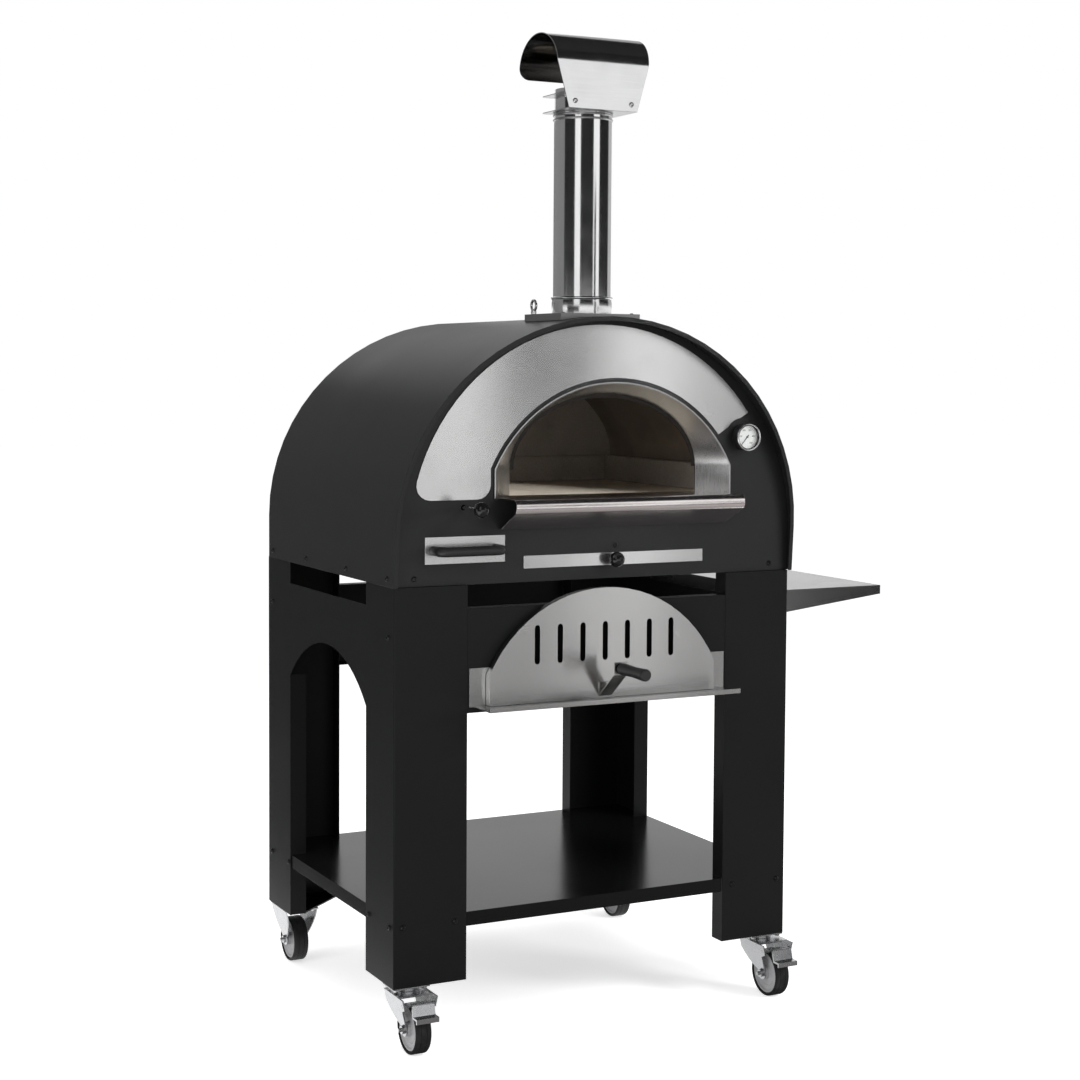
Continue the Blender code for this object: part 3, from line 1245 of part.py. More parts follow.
# Stand
piece("stand_side_right", side_frame(), "stand_paint")
piece("stand_side_left", mirrored(side_frame()), "stand_paint")
CROSS_X = (-LEG_INNER + FIT, LEG_INNER - FIT)
FRONT_CROSS = pan(CROSS_X, (0.0, CROSS_DEPTH), (CROSS_BOTTOM, CROSS_TOP), SHEET, (0, 1, 0))
piece("crosspiece_front", FRONT_CROSS, "stand_paint")
REAR_CROSS = pan(CROSS_X, (STAND_DEPTH - CROSS_DEPTH, STAND_DEPTH),
                 (CROSS_BOTTOM, STAND_TOP - REAR_CROSS_DROP), SHEET, (0, -1, 0))
piece("crosspiece_rear", REAR_CROSS, "stand_paint")
piece("bottom_shelf", bottom_shelf(), "stand_paint")
piece("door_tray", door_tray(), "stainless")
SHELF_HOLDER = holder("side_shelf_lift", (HALF, STAND_DEPTH / 2, NOTCH_FLOOR), ROOT)
piece("side_shelf", side_shelf(), "stainless", SHELF_HOLDER)

# Casters
for label, side in (("left", -1), ("right", 1)):
    place = side * WHEEL_X
    front_wheel = (place, FRONT_WHEEL_Y, WHEEL_RADIUS)
    rear_wheel = (place, REAR_WHEEL_Y, WHEEL_RADIUS)
    swivel = holder(f"caster_front_{label}_swivel", (place, SWIVEL_SET_BACK, CROWN_TOP), ROOT)
    pedal_hinge = holder(f"caster_front_{label}_pedal_hinge", (place, HINGE_Y, HINGE_Z), swivel)
    front_spin = holder(f"caster_front_{label}_axle", front_wheel, swivel)
    rear_spin = holder(f"caster_rear_{label}_axle", rear_wheel, ROOT)
    piece(f"caster_front_{label}_plate", swivel_plate(place), "zinc")
    piece(f"caster_front_{label}_fork", swivel_fork(place), "zinc", swivel)
    piece(f"caster_front_{label}_pedal", brake_pedal(place), "zinc", pedal_hinge)
    piece(f"caster_rear_{label}_fork", fixed_fork(place), "zinc")
    for end, centre_spot, spin in (("front", front_wheel, front_spin), ("rear", rear_wheel, rear_spin)):
        piece(f"caster_{end}_{label}_hub", lathe(hub(), "X", centre_spot, WHEEL_STEPS, ring=True),
              "grey_plastic", spin)
        piece(f"caster_{end}_{label}_tyre", lathe(tyre(), "X", centre_spot, WHEEL_STEPS, ring=True),
              "rubber", spin)

# Oven body
piece("oven_shell", shell(), "oven_paint")
piece("front_panel", front_panel(), "oven_paint")
piece("back_panel", prism(shell_arch(STEEL + FIT), "Y", REAR_PANEL, REAR_PANEL + SHEET), "oven_paint")
BASE_X = SHELL_HALF - STEEL - FIT
piece("base_pan", pan((-BASE_X, BASE_X), (PANEL_BACK + FIT, REAR_PANEL - FIT),
                      (OVEN_BOTTOM, OVEN_BOTTOM + BASE_FLANGE), SHEET, (0, 0, 1)), "oven_paint")
piece("hearth_deck", deck(), "chamber_steel")
piece("insulation", insulation(), "wool")
piece("floor_stone_left", floor_stone(-1), "refractory")
piece("floor_stone_right", floor_stone(1), "refractory")
piece("chamber_front", chamber_front(), "chamber_steel")
piece("chamber_vault", chamber_vault(), "chamber_steel")
BACK_STONE_FORM = prism(chamber_arch(CHAMBER_SHEET), "Y", BACK_STONE_FRONT, DECK_BACK)
piece("chamber_back_stone", BACK_STONE_FORM, "refractory")
for label, side in (("left", -1), ("right", 1)):
    outer_face = CHAMBER_HALF - FIT
    piece(f"low_wall_{label}", box((side * (outer_face - LOW_WALL_THICK), side * outer_face),
                                   (STONE_FRONT + FIT, CHAMBER_BACK - FIT),
                                   (CHAMBER_FOOT, CHAMBER_FOOT + LOW_WALL_HEIGHT)), "refractory")
piece("mouth_liner", mouth_liner(), "stainless")
piece("ledge", ledge(), "polished")
piece("face_plate", face_plate(), "stainless")

# Drawer, tray and shutter
DRAWER_HOLDER = holder("ash_drawer_slide", (DRAWER_X, TRIM_FRONT, STAND_TOP + DRAWER_BOTTOM), ROOT)
piece("ash_drawer", ash_drawer(), "stainless", DRAWER_HOLDER)
piece("ash_drawer_handle", bar_handle(), "black_plastic", DRAWER_HOLDER)
CRUMB_MIDDLE = STAND_TOP + CRUMB_BOTTOM + CRUMB_HEIGHT / 2
CRUMB_HOLDER = holder("crumb_tray_slide", (CRUMB_X, TRIM_FRONT, CRUMB_MIDDLE), ROOT)
piece("crumb_tray", crumb_tray(), "stainless", CRUMB_HOLDER)
CRUMB_KNOB = (CRUMB_KNOB_X, TRIM_FRONT - FIT - CRUMB_KNOB_REACH, CRUMB_MIDDLE)
piece("crumb_tray_knob", ball_knob(CRUMB_KNOB, CRUMB_KNOB_REACH), "black_plastic", CRUMB_HOLDER)
SHUTTER_HOLDER = holder("ash_shutter_slide", (SHUTTER_X, PANEL_SET_BACK, SHUTTER_LEVEL), ROOT)
piece("ash_shutter", ash_shutter(), "polished", SHUTTER_HOLDER)
piece("ash_shutter_knob", ball_knob((SHUTTER_X, PANEL_SET_BACK - SHUTTER_REACH, SHUTTER_LEVEL), KNOB_RADIUS),
      "black_plastic", SHUTTER_HOLDER)

# Thermometer
DIAL_BORE = DIAL_RADIUS - DIAL_RIM - FIT
DIAL_LIP_BACK = DIAL_FRONT - DIAL_LIP_DEPTH - FIT
piece("thermometer_body", thermometer_body(), "stainless")
CARD_BACK = DIAL_FLOOR + FIT
CARD = rod("-Y", DIAL_CENTRE, DIAL_BORE, CARD_BACK, CARD_BACK + DIAL_DISC, DIAL_STEPS)
piece("thermometer_dial", CARD, "dial_white")
GLASS = rod("-Y", DIAL_CENTRE, DIAL_BORE, DIAL_LIP_BACK - DIAL_GLASS, DIAL_LIP_BACK, DIAL_STEPS)
piece("thermometer_glass", GLASS, "clear_glass")
NEEDLE_HOLDER = holder("thermometer_needle_pivot", DIAL_CENTRE, ROOT)
piece("thermometer_needle", needle(), "needle_black", NEEDLE_HOLDER)

# Chimney
piece("chimney_saddle", saddle(), "polished")
piece("lifting_eye", lifting_eye(), "polished")
COLLAR = tube(FLUE_RADIUS + FIT, COLLAR_RADIUS, SADDLE_TOP + FIT, SADDLE_TOP + COLLAR_HEIGHT)
piece("flue_collar", COLLAR, "polished")
piece("flue_pipe", tube(FLUE_RADIUS - STEEL, FLUE_RADIUS, FLUE_BOTTOM, STAND_TOP + FLUE_TOP), "polished")
piece("cowl_yoke", cowl_yoke(), "stainless")
piece("cowl", cowl(), "polished")

# Door, stored in its tray
DOOR_HOLDER = holder("door_lift", (0.0, DOOR_FACE, DOOR_BOTTOM), ROOT)
piece("door", door(), "stainless", DOOR_HOLDER)
piece("door_bracket", door_bracket(), "stainless", DOOR_HOLDER)
piece("door_grip", door_grip(), "black_plastic", DOOR_HOLDER)
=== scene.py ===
"""Wood fired oven on its wheeled stand: finishes, fasteners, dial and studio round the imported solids."""
import json
import math

import bmesh
import bpy
from mathutils import Matrix, Vector

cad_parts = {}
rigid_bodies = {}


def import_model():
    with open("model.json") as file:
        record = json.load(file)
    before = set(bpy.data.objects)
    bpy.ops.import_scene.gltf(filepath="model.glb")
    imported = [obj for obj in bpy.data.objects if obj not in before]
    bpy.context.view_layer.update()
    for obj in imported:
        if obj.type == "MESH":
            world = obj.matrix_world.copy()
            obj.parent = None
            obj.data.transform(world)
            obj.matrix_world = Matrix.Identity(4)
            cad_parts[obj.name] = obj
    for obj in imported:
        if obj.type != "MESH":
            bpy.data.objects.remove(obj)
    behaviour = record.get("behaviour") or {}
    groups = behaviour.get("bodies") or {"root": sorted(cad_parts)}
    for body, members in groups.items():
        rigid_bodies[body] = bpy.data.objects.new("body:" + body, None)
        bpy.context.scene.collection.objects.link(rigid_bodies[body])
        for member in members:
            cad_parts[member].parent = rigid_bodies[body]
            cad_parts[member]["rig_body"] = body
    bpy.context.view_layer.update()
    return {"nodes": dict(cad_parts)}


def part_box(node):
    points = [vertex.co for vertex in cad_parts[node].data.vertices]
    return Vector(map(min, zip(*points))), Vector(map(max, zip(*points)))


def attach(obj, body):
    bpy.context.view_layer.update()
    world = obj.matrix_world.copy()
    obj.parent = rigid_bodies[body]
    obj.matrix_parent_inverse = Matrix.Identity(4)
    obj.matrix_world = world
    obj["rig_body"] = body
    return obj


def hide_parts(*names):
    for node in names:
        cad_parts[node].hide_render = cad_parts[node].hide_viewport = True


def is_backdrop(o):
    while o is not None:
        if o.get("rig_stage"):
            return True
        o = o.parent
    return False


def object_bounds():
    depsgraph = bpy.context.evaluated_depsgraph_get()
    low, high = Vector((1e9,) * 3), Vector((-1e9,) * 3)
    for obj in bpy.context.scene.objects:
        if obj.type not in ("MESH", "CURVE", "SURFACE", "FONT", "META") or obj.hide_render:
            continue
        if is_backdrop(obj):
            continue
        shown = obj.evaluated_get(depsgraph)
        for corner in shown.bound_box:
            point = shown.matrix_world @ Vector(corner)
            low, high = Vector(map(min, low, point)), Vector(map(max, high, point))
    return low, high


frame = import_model()
NODES = frame["nodes"]

# The stand's front plane and middle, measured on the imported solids
SHELF_LOW, SHELF_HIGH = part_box("bottom_shelf")
LEG_LOW, LEG_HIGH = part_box("stand_side_left")
MIDDLE = (SHELF_LOW.x + SHELF_HIGH.x) / 2
FRONT = LEG_LOW.y

# Ways that pieces look
AHEAD = (0, -1, 0)
BEHIND = (0, 1, 0)
UPWARD = (0, 0, 1)
DOWNWARD = (0, 0, -1)
SIDEWAYS = (1, 0, 0)


def at(x, y, z):
    """A place given from the stand's middle and front plane."""
    return Vector((MIDDLE + x, FRONT + y, z))


class Tone:
    """A shader value that takes part in plain sums."""

    def __init__(self, paint, socket):
        self.paint = paint
        self.socket = socket

    def sum(self, operation, first, second):
        return self.paint.node("Math", {"operation": operation}, {0: first, 1: second})

    def __add__(self, other):
        return self.sum("ADD", self, other)

    def __mul__(self, other):
        return self.sum("MULTIPLY", self, other)


class Paint:
    """A node tree with one node-making method and a few named patterns."""

    def __init__(self, owner):
        owner.use_nodes = True
        self.owner = owner
        self.tree = owner.node_tree

    def node(self, kind, settings=None, inputs=None, output=0):
        made = self.tree.nodes.new("ShaderNode" + kind)
        for key, value in (settings or {}).items():
            if key == "stops":
                ramp = made.color_ramp
                while len(ramp.elements) < len(value):
                    ramp.elements.new(0.5)
                for stop, (place, colour) in zip(ramp.elements, value):
                    stop.position = place
                    stop.color = (*colour, 1.0)
            else:
                setattr(made, key, value)
        for key, value in (inputs or {}).items():
            if isinstance(value, Tone):
                self.tree.links.new(value.socket, made.inputs[key])
            else:
                made.inputs[key].default_value = value
        return Tone(self, made.outputs[output])

    def where(self, stretch=(1.0, 1.0, 1.0)):
        place = self.node("TexCoord", output="Object")
        return self.node("Mapping", {}, {"Vector": place, "Scale": stretch})

    def axis(self, name):
        return self.node("SeparateXYZ", {}, {"Vector": self.where()}, name)

    def noise(self, scale, detail=2.0, stretch=(1.0, 1.0, 1.0), rough=0.5):
        inputs = {"Vector": self.where(stretch), "Scale": scale, "Detail": detail, "Roughness": rough}
        return self.node("TexNoise", {}, inputs, "Fac")

    def spread(self, value, low, high, to_low=0.0, to_high=1.0):
        inputs = {0: value, 1: low, 2: high, 3: to_low, 4: to_high}
        return self.node("MapRange", {"clamp": True}, inputs)

    def ramp(self, value, stops):
        return self.node("ValToRGB", {"stops": stops}, {"Fac": value})

    def mix(self, factor, first, second):
        picks = {0: factor}
        for key, colour in ((6, first), (7, second)):
            picks[key] = colour if isinstance(colour, Tone) else (*colour, 1.0)
        return self.node("Mix", {"data_type": "RGBA"}, picks, 2)

    def bump(self, height, strength, distance, normal=None):
        inputs = {"Height": height, "Strength": strength, "Distance": distance}
        if normal is not None:
            inputs["Normal"] = normal
        return self.node("Bump", {}, inputs, "Normal")

    def looked_at(self):
        """One where the surface is seen straight, in a reflection or through glass, else nothing."""
        seen = 0.0
        for ray in ("Is Camera Ray", "Is Glossy Ray", "Is Transmission Ray"):
            part = self.node("LightPath", output=ray)
            seen = self.node("Math", {"operation": "MAXIMUM"}, {0: seen, 1: part})
        return seen

    def finish(self, **sockets):
        shader = self.tree.nodes["Principled BSDF"]
        for key, value in sockets.items():
            socket = shader.inputs[key.replace("_", " ")]
            if isinstance(value, Tone):
                self.tree.links.new(value.socket, socket)
            elif isinstance(value, tuple):
                socket.default_value = (*value, 1.0)
            else:
                socket.default_value = value
        return self.owner


def new_paint(name):
    return Paint(bpy.data.materials.new(name))


def toned(colour, factor):
    """A colour made lighter or darker."""
    return tuple(min(channel * factor, 1.0) for channel in colour)


def stretched(along, amount):
    """Scale of a pattern drawn out along one axis."""
    return tuple(amount if name == along else 1.0 for name in "XYZ")


def powder_coat(name, colour, rough, sheen):
    """Satin powder coat: orange peel, a fine sparkling grain and a faintly uneven gloss."""
    paint = new_paint(name)
    cloud = paint.noise(3.0, 4.0)
    grain = paint.noise(1100.0, 2.0)
    peel = paint.noise(340.0, 1.0)
    base = paint.mix(paint.spread(cloud, 0.35, 0.65), toned(colour, 0.92), toned(colour, 1.08))
    base = paint.mix(paint.spread(grain, 0.58, 0.76, 0.0, 0.4), base, toned(colour, 1.9))
    gloss = paint.spread(cloud, 0.3, 0.7, rough - 0.03, rough + 0.03) + grain * 0.05
    normal = paint.bump(peel, 0.07, 0.0005, paint.bump(grain, 0.10, 0.0003))
    return paint.finish(Base_Color=base, Roughness=gloss, Normal=normal, Specular_IOR_Level=sheen)


def brushed_steel(name, along, colour, rough, streak, drawn=0.0):
    """Brushed stainless: fine scratches along one axis, faint hand marks, a gloss drawn out across them."""
    paint = new_paint(name)
    fine = paint.noise(2200.0, 3.0, stretched(along, 0.012), 0.7)
    long = paint.noise(600.0, 3.0, stretched(along, 0.006), 0.6)
    marks = paint.noise(9.0, 5.0)
    lines = fine * 0.85 + long * 0.15
    dull = toned(colour, 1.0 - streak)
    pale = toned(colour, 1.0 + streak)
    base = paint.mix(paint.spread(lines, 0.35, 0.65), dull, pale)
    gloss = paint.spread(lines, 0.3, 0.7, rough - streak, rough + streak)
    gloss = gloss + paint.spread(marks, 0.5, 0.75, 0.0, 0.04)
    normal = paint.bump(lines, 0.5 * streak, 0.0003)
    return paint.finish(Base_Color=base, Metallic=1.0, Roughness=gloss, Normal=normal,
                        Anisotropic=drawn, Anisotropic_Rotation=0.25)


def bright_steel(name, along, colour, rough):
    """Polished stainless with faint rolling lines and smudges."""
    paint = new_paint(name)
    lines = paint.noise(900.0, 3.0, stretched(along, 0.01), 0.6)
    smudge = paint.noise(14.0, 5.0)
    base = paint.mix(paint.spread(lines, 0.3, 0.7), toned(colour, 0.96), toned(colour, 1.04))
    gloss = paint.spread(smudge, 0.45, 0.75, rough, rough + 0.05) + lines * 0.03
    normal = paint.bump(lines, 0.02, 0.0002)
    return paint.finish(Base_Color=base, Metallic=1.0, Roughness=gloss, Normal=normal)


def zinc_plate(name):
    """Zinc plated pressings: a fine spangle and dull patches."""
    paint = new_paint(name)
    spangle = paint.node("TexVoronoi", {}, {"Vector": paint.where(), "Scale": 700.0}, "Color")
    spark = paint.node("SeparateColor", {}, {"Color": spangle}, 0)
    cloud = paint.noise(60.0, 4.0)
    base = paint.mix(spark, (0.50, 0.505, 0.515), (0.56, 0.565, 0.575))
    gloss = paint.spread(cloud, 0.3, 0.7, 0.18, 0.27) + spark * 0.03
    normal = paint.bump(cloud, 0.03, 0.0003)
    return paint.finish(Base_Color=base, Metallic=1.0, Roughness=gloss, Normal=normal)


def moulded_plastic(name, colour, rough):
    """Moulded plastic: a light grain and slight unevenness of colour."""
    paint = new_paint(name)
    grain = paint.noise(1400.0, 2.0)
    cloud = paint.noise(30.0, 3.0)
    base = paint.mix(paint.spread(cloud, 0.3, 0.7), toned(colour, 0.88), toned(colour, 1.12))
    gloss = paint.spread(cloud, 0.3, 0.7, rough - 0.03, rough + 0.04) + grain * 0.04
    return paint.finish(Base_Color=base, Roughness=gloss, Normal=paint.bump(grain, 0.05, 0.0003))


def tread_rubber(name):
    """Wheel rubber with a little floor dust."""
    paint = new_paint(name)
    grain = paint.noise(800.0, 3.0)
    dust = paint.spread(paint.noise(70.0, 5.0), 0.5, 0.75, 0.0, 0.4)
    base = paint.mix(dust, (0.012, 0.012, 0.013), (0.040, 0.038, 0.036))
    gloss = paint.spread(grain, 0.3, 0.7, 0.48, 0.66)
    normal = paint.bump(grain, 0.2, 0.0004)
    return paint.finish(Base_Color=base, Roughness=gloss, Normal=normal, Specular_IOR_Level=0.3)


def hearth_stone(name, pale, dark, scorch):
    """Refractory stone: sandy grain, pores and scorched patches."""
    paint = new_paint(name)
    sand = paint.noise(420.0, 4.0)
    patch = paint.noise(7.0, 5.0)
    pores = paint.node("TexVoronoi", {}, {"Vector": paint.where(), "Scale": 180.0}, "Distance")
    base = paint.ramp(sand, [(0.25, dark), (0.55, pale), (0.8, toned(pale, 1.12))])
    base = paint.mix(paint.spread(patch, 0.48, 0.75, 0.0, scorch), base, (0.07, 0.055, 0.045))
    base = paint.mix(paint.spread(pores, 0.10, 0.02, 0.0, 0.6), base, toned(dark, 0.6))
    normal = paint.bump(sand, 0.35, 0.0008, paint.bump(pores, 0.25, 0.001))
    return paint.finish(Base_Color=base, Roughness=paint.spread(sand, 0.3, 0.7, 0.80, 0.95), Normal=normal)


# Heights between which the soot in the chamber thickens
SOOT_FROM = 1.18
SOOT_FULL = 1.36


def scorched_steel(name):
    """Chamber steel: brown heat tint under soot that thickens towards the crown."""
    paint = new_paint(name)
    cloud = paint.noise(5.0, 6.0)
    lines = paint.noise(500.0, 3.0, stretched("Y", 0.02), 0.6)
    browns = [(0.3, (0.34, 0.29, 0.25)), (0.5, (0.42, 0.36, 0.31)), (0.7, (0.28, 0.24, 0.20))]
    tint = paint.ramp(cloud, browns)
    rise = paint.spread(paint.axis("Z"), SOOT_FROM, SOOT_FULL, 0.05, 0.8)
    soot = rise * paint.spread(cloud, 0.3, 0.6, 0.7, 1.0)
    base = paint.mix(soot, tint, (0.035, 0.031, 0.029))
    gloss = paint.spread(cloud, 0.3, 0.7, 0.42, 0.56) + lines * 0.08
    normal = paint.bump(lines, 0.08, 0.0004)
    return paint.finish(Base_Color=base, Metallic=0.4, Roughness=gloss, Normal=normal)


def wool_blanket(name):
    """Mineral wool: pale matted fibres."""
    paint = new_paint(name)
    fibre = paint.noise(300.0, 6.0, stretched("Y", 0.2), 0.7)
    base = paint.ramp(fibre, [(0.3, (0.55, 0.52, 0.44)), (0.7, (0.80, 0.77, 0.70))])
    return paint.finish(Base_Color=base, Roughness=0.95, Normal=paint.bump(fibre, 0.6, 0.002))


def dial_card(name):
    """Off-white dial with a faint speckle."""
    paint = new_paint(name)
    speck = paint.noise(900.0, 2.0)
    base = paint.mix(paint.spread(speck, 0.4, 0.7), (0.80, 0.80, 0.78), (0.86, 0.86, 0.84))
    return paint.finish(Base_Color=base, Roughness=paint.spread(speck, 0.3, 0.7, 0.42, 0.55))


def clear_cover(name):
    """Flat glass with hardly any tint and a trace of dust."""
    paint = new_paint(name)
    gloss = paint.spread(paint.noise(120.0, 4.0), 0.5, 0.8, 0.01, 0.06)
    return paint.finish(Base_Color=(0.97, 0.98, 0.98), Roughness=gloss, Transmission_Weight=1.0, IOR=1.45)


# Each finish with the record's slot that it stands for
FINISHES = {
    "stand_coat": (powder_coat("stand_coat", (0.0075, 0.0076, 0.0078), 0.40, 0.16), "stand_paint"),
    "oven_coat": (powder_coat("oven_coat", (0.0150, 0.0151, 0.0155), 0.36, 0.22), "oven_paint"),
    "shelf_coat": (powder_coat("shelf_coat", (0.0055, 0.0055, 0.0058), 0.17, 0.15), "stand_paint"),
    "plate_steel": (brushed_steel("plate_steel", "X", (0.78, 0.78, 0.78), 0.22, 0.025, 0.9), "stainless"),
    "door_steel": (brushed_steel("door_steel", "X", (0.66, 0.66, 0.655), 0.24, 0.012, 0.9), "stainless"),
    # The tray and its bracket take a darker copy of the door's stainless; the lower base colour paints the
    # dark reflection on the tray lip.
    "tray_steel": (brushed_steel("tray_steel", "X", (0.50, 0.50, 0.495), 0.24, 0.012, 0.9), "stainless"),
    "yoke_steel": (brushed_steel("yoke_steel", "X", (0.46, 0.46, 0.465), 0.26, 0.04), "polished"),
    "liner_steel": (brushed_steel("liner_steel", "Z", (0.60, 0.60, 0.60), 0.28, 0.04), "stainless"),
    "shelf_steel": (brushed_steel("shelf_steel", "Y", (0.38, 0.38, 0.38), 0.24, 0.025), "stainless"),
    "ledge_steel": (brushed_steel("ledge_steel", "X", (0.90, 0.85, 0.84), 0.20, 0.05), "polished"),
    "flue_steel": (bright_steel("flue_steel", "Z", (0.86, 0.86, 0.865), 0.09), "polished"),
    "saddle_steel": (brushed_steel("saddle_steel", "X", (0.33, 0.33, 0.33), 0.30, 0.03), "polished"),
    "cowl_steel": (bright_steel("cowl_steel", "X", (0.78, 0.78, 0.785), 0.12), "polished"),
    "zinc_plate": (zinc_plate("zinc_plate"), "zinc"),
    "knob_plastic": (moulded_plastic("knob_plastic", (0.006, 0.006, 0.006), 0.10), "black_plastic"),
    "grip_plastic": (moulded_plastic("grip_plastic", (0.014, 0.014, 0.014), 0.36), "black_plastic"),
    "hub_plastic": (moulded_plastic("hub_plastic", (0.42, 0.42, 0.43), 0.40), "grey_plastic"),
    "tread_rubber": (tread_rubber("tread_rubber"), "rubber"),
    "floor_stone": (hearth_stone("floor_stone", (0.82, 0.74, 0.62), (0.66, 0.57, 0.46), 0.25), "refractory"),
    "wall_stone": (hearth_stone("wall_stone", (0.47, 0.43, 0.385), (0.35, 0.315, 0.28), 0.35), "refractory"),
    "scorched_steel": (scorched_steel("scorched_steel"), "chamber_steel"),
    # Near-black steel on the chamber front darkens the ring seen inside the mouth.
    "sooty_steel": (bright_steel("sooty_steel", "X", (0.050, 0.045, 0.041), 0.45), "chamber_steel"),
    "smoked_steel": (bright_steel("smoked_steel", "X", (0.20, 0.195, 0.19), 0.16), "polished"),
    "wool_blanket": (wool_blanket("wool_blanket"), "wool"),
    "dial_card": (dial_card("dial_card"), "dial_white"),
    "dial_ink": (moulded_plastic("dial_ink", (0.02, 0.02, 0.022), 0.55), "needle_black"),
    "needle_paint": (moulded_plastic("needle_paint", (0.015, 0.015, 0.015), 0.45), "needle_black"),
    "clear_cover": (clear_cover("clear_cover"), "clear_glass"),
    # The thermometer case is stainless; its near-black colour here paints the dark reflection seen on its
    # side.
    "dial_case": (moulded_plastic("dial_case", (0.012, 0.012, 0.013), 0.30), "stainless"),
    "screw_black": (moulded_plastic("screw_black", (0.004, 0.004, 0.004), 0.30), "oven_paint"),
    "bolt_steel": (bright_steel("bolt_steel", "Z", (0.62, 0.62, 0.62), 0.20), "zinc"),
}


def mesh_of(name, form):
    """A mesh that takes over a form."""
    mesh = bpy.data.meshes.new(name)
    form.to_mesh(mesh)
    form.free()
    return mesh


def linked(name, data):
    """An object in the scene that shows a mesh, a lamp or a camera."""
    made = bpy.data.objects.new(name, data)
    bpy.context.scene.collection.objects.link(made)
    return made


def set_down(name, form, finish, body, smooth=35.0):
    """Turn a form into a piece that rides on a body, smooth but for its sharp edges."""
    material, slot = FINISHES[finish]
    mesh = mesh_of(name, form)
    mesh.shade_smooth()
    mesh.set_sharp_from_angle(angle=math.radians(smooth))
    mesh.materials.append(material)
    made = linked(name, mesh)
    made.modifiers.new("even_normals", "WEIGHTED_NORMAL").keep_sharp = True
    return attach(made, body)


def stands_for(node, form, finish, smooth=35.0):
    """A piece that takes a solid's place on the solid's own body."""
    made = set_down(f"{node}_form", form, finish, NODES[node]["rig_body"], smooth)
    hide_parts(node)


WELD = 0.00002
SEAM = 0.000001
FLAT = math.radians(0.5)
SHARP = math.radians(40.0)


def merged(node):
    """A solid's own form with its flat faces made whole."""
    form = bmesh.new()
    form.from_mesh(NODES[node].data)
    bmesh.ops.remove_doubles(form, verts=form.verts, dist=WELD)
    bmesh.ops.dissolve_limit(form, angle_limit=FLAT, verts=form.verts, edges=form.edges)
    return form


def ease(form, edges, width):
    """Round off edges by a narrow bevel."""
    bmesh.ops.bevel(form, geom=edges, offset=width, affect="EDGES", segments=2, profile=0.5, material=-1,
                    clamp_overlap=True)


def dressed(node, form, finish, edge=0.0):
    """A form in a solid's place with eased edges and smooth curves."""
    if edge:
        ease(form, [item for item in form.edges if item.is_manifold and item.calc_face_angle() > SHARP], edge)
    stands_for(node, form, finish)


def block(form, place, size):
    """Add a rectangular block to a form."""
    bmesh.ops.create_cube(form, size=1.0, matrix=place @ Matrix.Diagonal((*size, 1.0)))


def facing(place, way):
    """The move that takes an upright form to a place and makes it look a given way."""
    turn = Vector(UPWARD).rotation_difference(Vector(way)).to_matrix().to_4x4()
    return Matrix.Translation(place) @ turn


def turned(profile, centre, way, steps, ring=False):
    """Spin a profile of radius and height about an axis; a ring profile closes on itself."""
    form = bmesh.new()
    verts = [form.verts.new((radius, 0.0, height)) for radius, height in profile]
    edges = [form.edges.new(pair) for pair in zip(verts, verts[1:])]
    if ring:
        edges.append(form.edges.new((verts[-1], verts[0])))
    bmesh.ops.spin(form, geom=verts + edges, cent=(0, 0, 0), axis=UPWARD, dvec=(0, 0, 0), angle=math.tau,
                   steps=steps, use_merge=True, use_duplicate=False)
    bmesh.ops.remove_doubles(form, verts=form.verts, dist=SEAM)
    bmesh.ops.recalc_face_normals(form, faces=form.faces)
    form.transform(facing(centre, way))
    return form


def joined(forms):
    """Several meshes gathered in one."""
    whole = bmesh.new()
    for form in forms:
        carrier = mesh_of("carrier", form)
        whole.from_mesh(carrier)
        bpy.data.meshes.remove(carrier)
    return whole


def arc(centre, radius, start, end, steps):
    """Points of a circle between two angles in degrees."""
    points = []
    for step in range(steps + 1):
        turn = math.radians(start + (end - start) * step / steps)
        points.append((centre[0] + radius * math.cos(turn), centre[1] + radius * math.sin(turn)))
    return points


def mirrored_profile(half):
    """A ring profile from its upper half."""
    return half + [(radius, -height) for radius, height in half[::-1]]


def middle_of(node):
    low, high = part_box(node)
    return (low + high) / 2


# Finish of each solid that keeps its form, with the width of its eased edges
SOLIDS = {
    ("stand_coat", 0.0009): ("stand_side_left", "stand_side_right", "crosspiece_front", "crosspiece_rear"),
    ("shelf_coat", 0.0006): ("bottom_shelf",),
    ("oven_coat", 0.0008): ("oven_shell", "front_panel", "back_panel"),
    ("plate_steel", 0.0004): ("face_plate", "ash_drawer", "crumb_tray"),
    ("tray_steel", 0.0004): ("door_tray", "door_bracket"),
    ("door_steel", 0.0005): ("door",),
    ("shelf_steel", 0.0012): ("side_shelf",),
    ("liner_steel", 0.0004): ("mouth_liner",),
    ("flue_steel", 0.0003): ("ash_shutter", "lifting_eye"),
    ("saddle_steel", 0.0006): ("chimney_saddle",),
    ("yoke_steel", 0.0003): ("cowl_yoke",),
    ("grip_plastic", 0.0006): ("door_grip", "ash_drawer_handle"),
    ("floor_stone", 0.0025): ("floor_stone_left", "floor_stone_right"),
    ("wall_stone", 0.0025): ("chamber_back_stone", "low_wall_left", "low_wall_right"),
    ("scorched_steel", 0.0): ("chamber_vault",),
    ("sooty_steel", 0.0): ("chamber_front",),
    ("dial_case", 0.0005): ("thermometer_body",),
    ("dial_card", 0.0): ("thermometer_dial",),
    ("needle_paint", 0.0002): ("thermometer_needle",),
    ("clear_cover", 0.0): ("thermometer_glass",),
    ("zinc_plate", 0.0005): ("caster_front_left_plate", "caster_front_right_plate", "caster_front_left_fork",
                             "caster_front_right_fork", "caster_front_left_pedal", "caster_front_right_pedal",
                             "caster_rear_left_fork", "caster_rear_right_fork"),
}
for (finish, edge), members in SOLIDS.items():
    for node in members:
        dressed(node, merged(node), finish, edge)

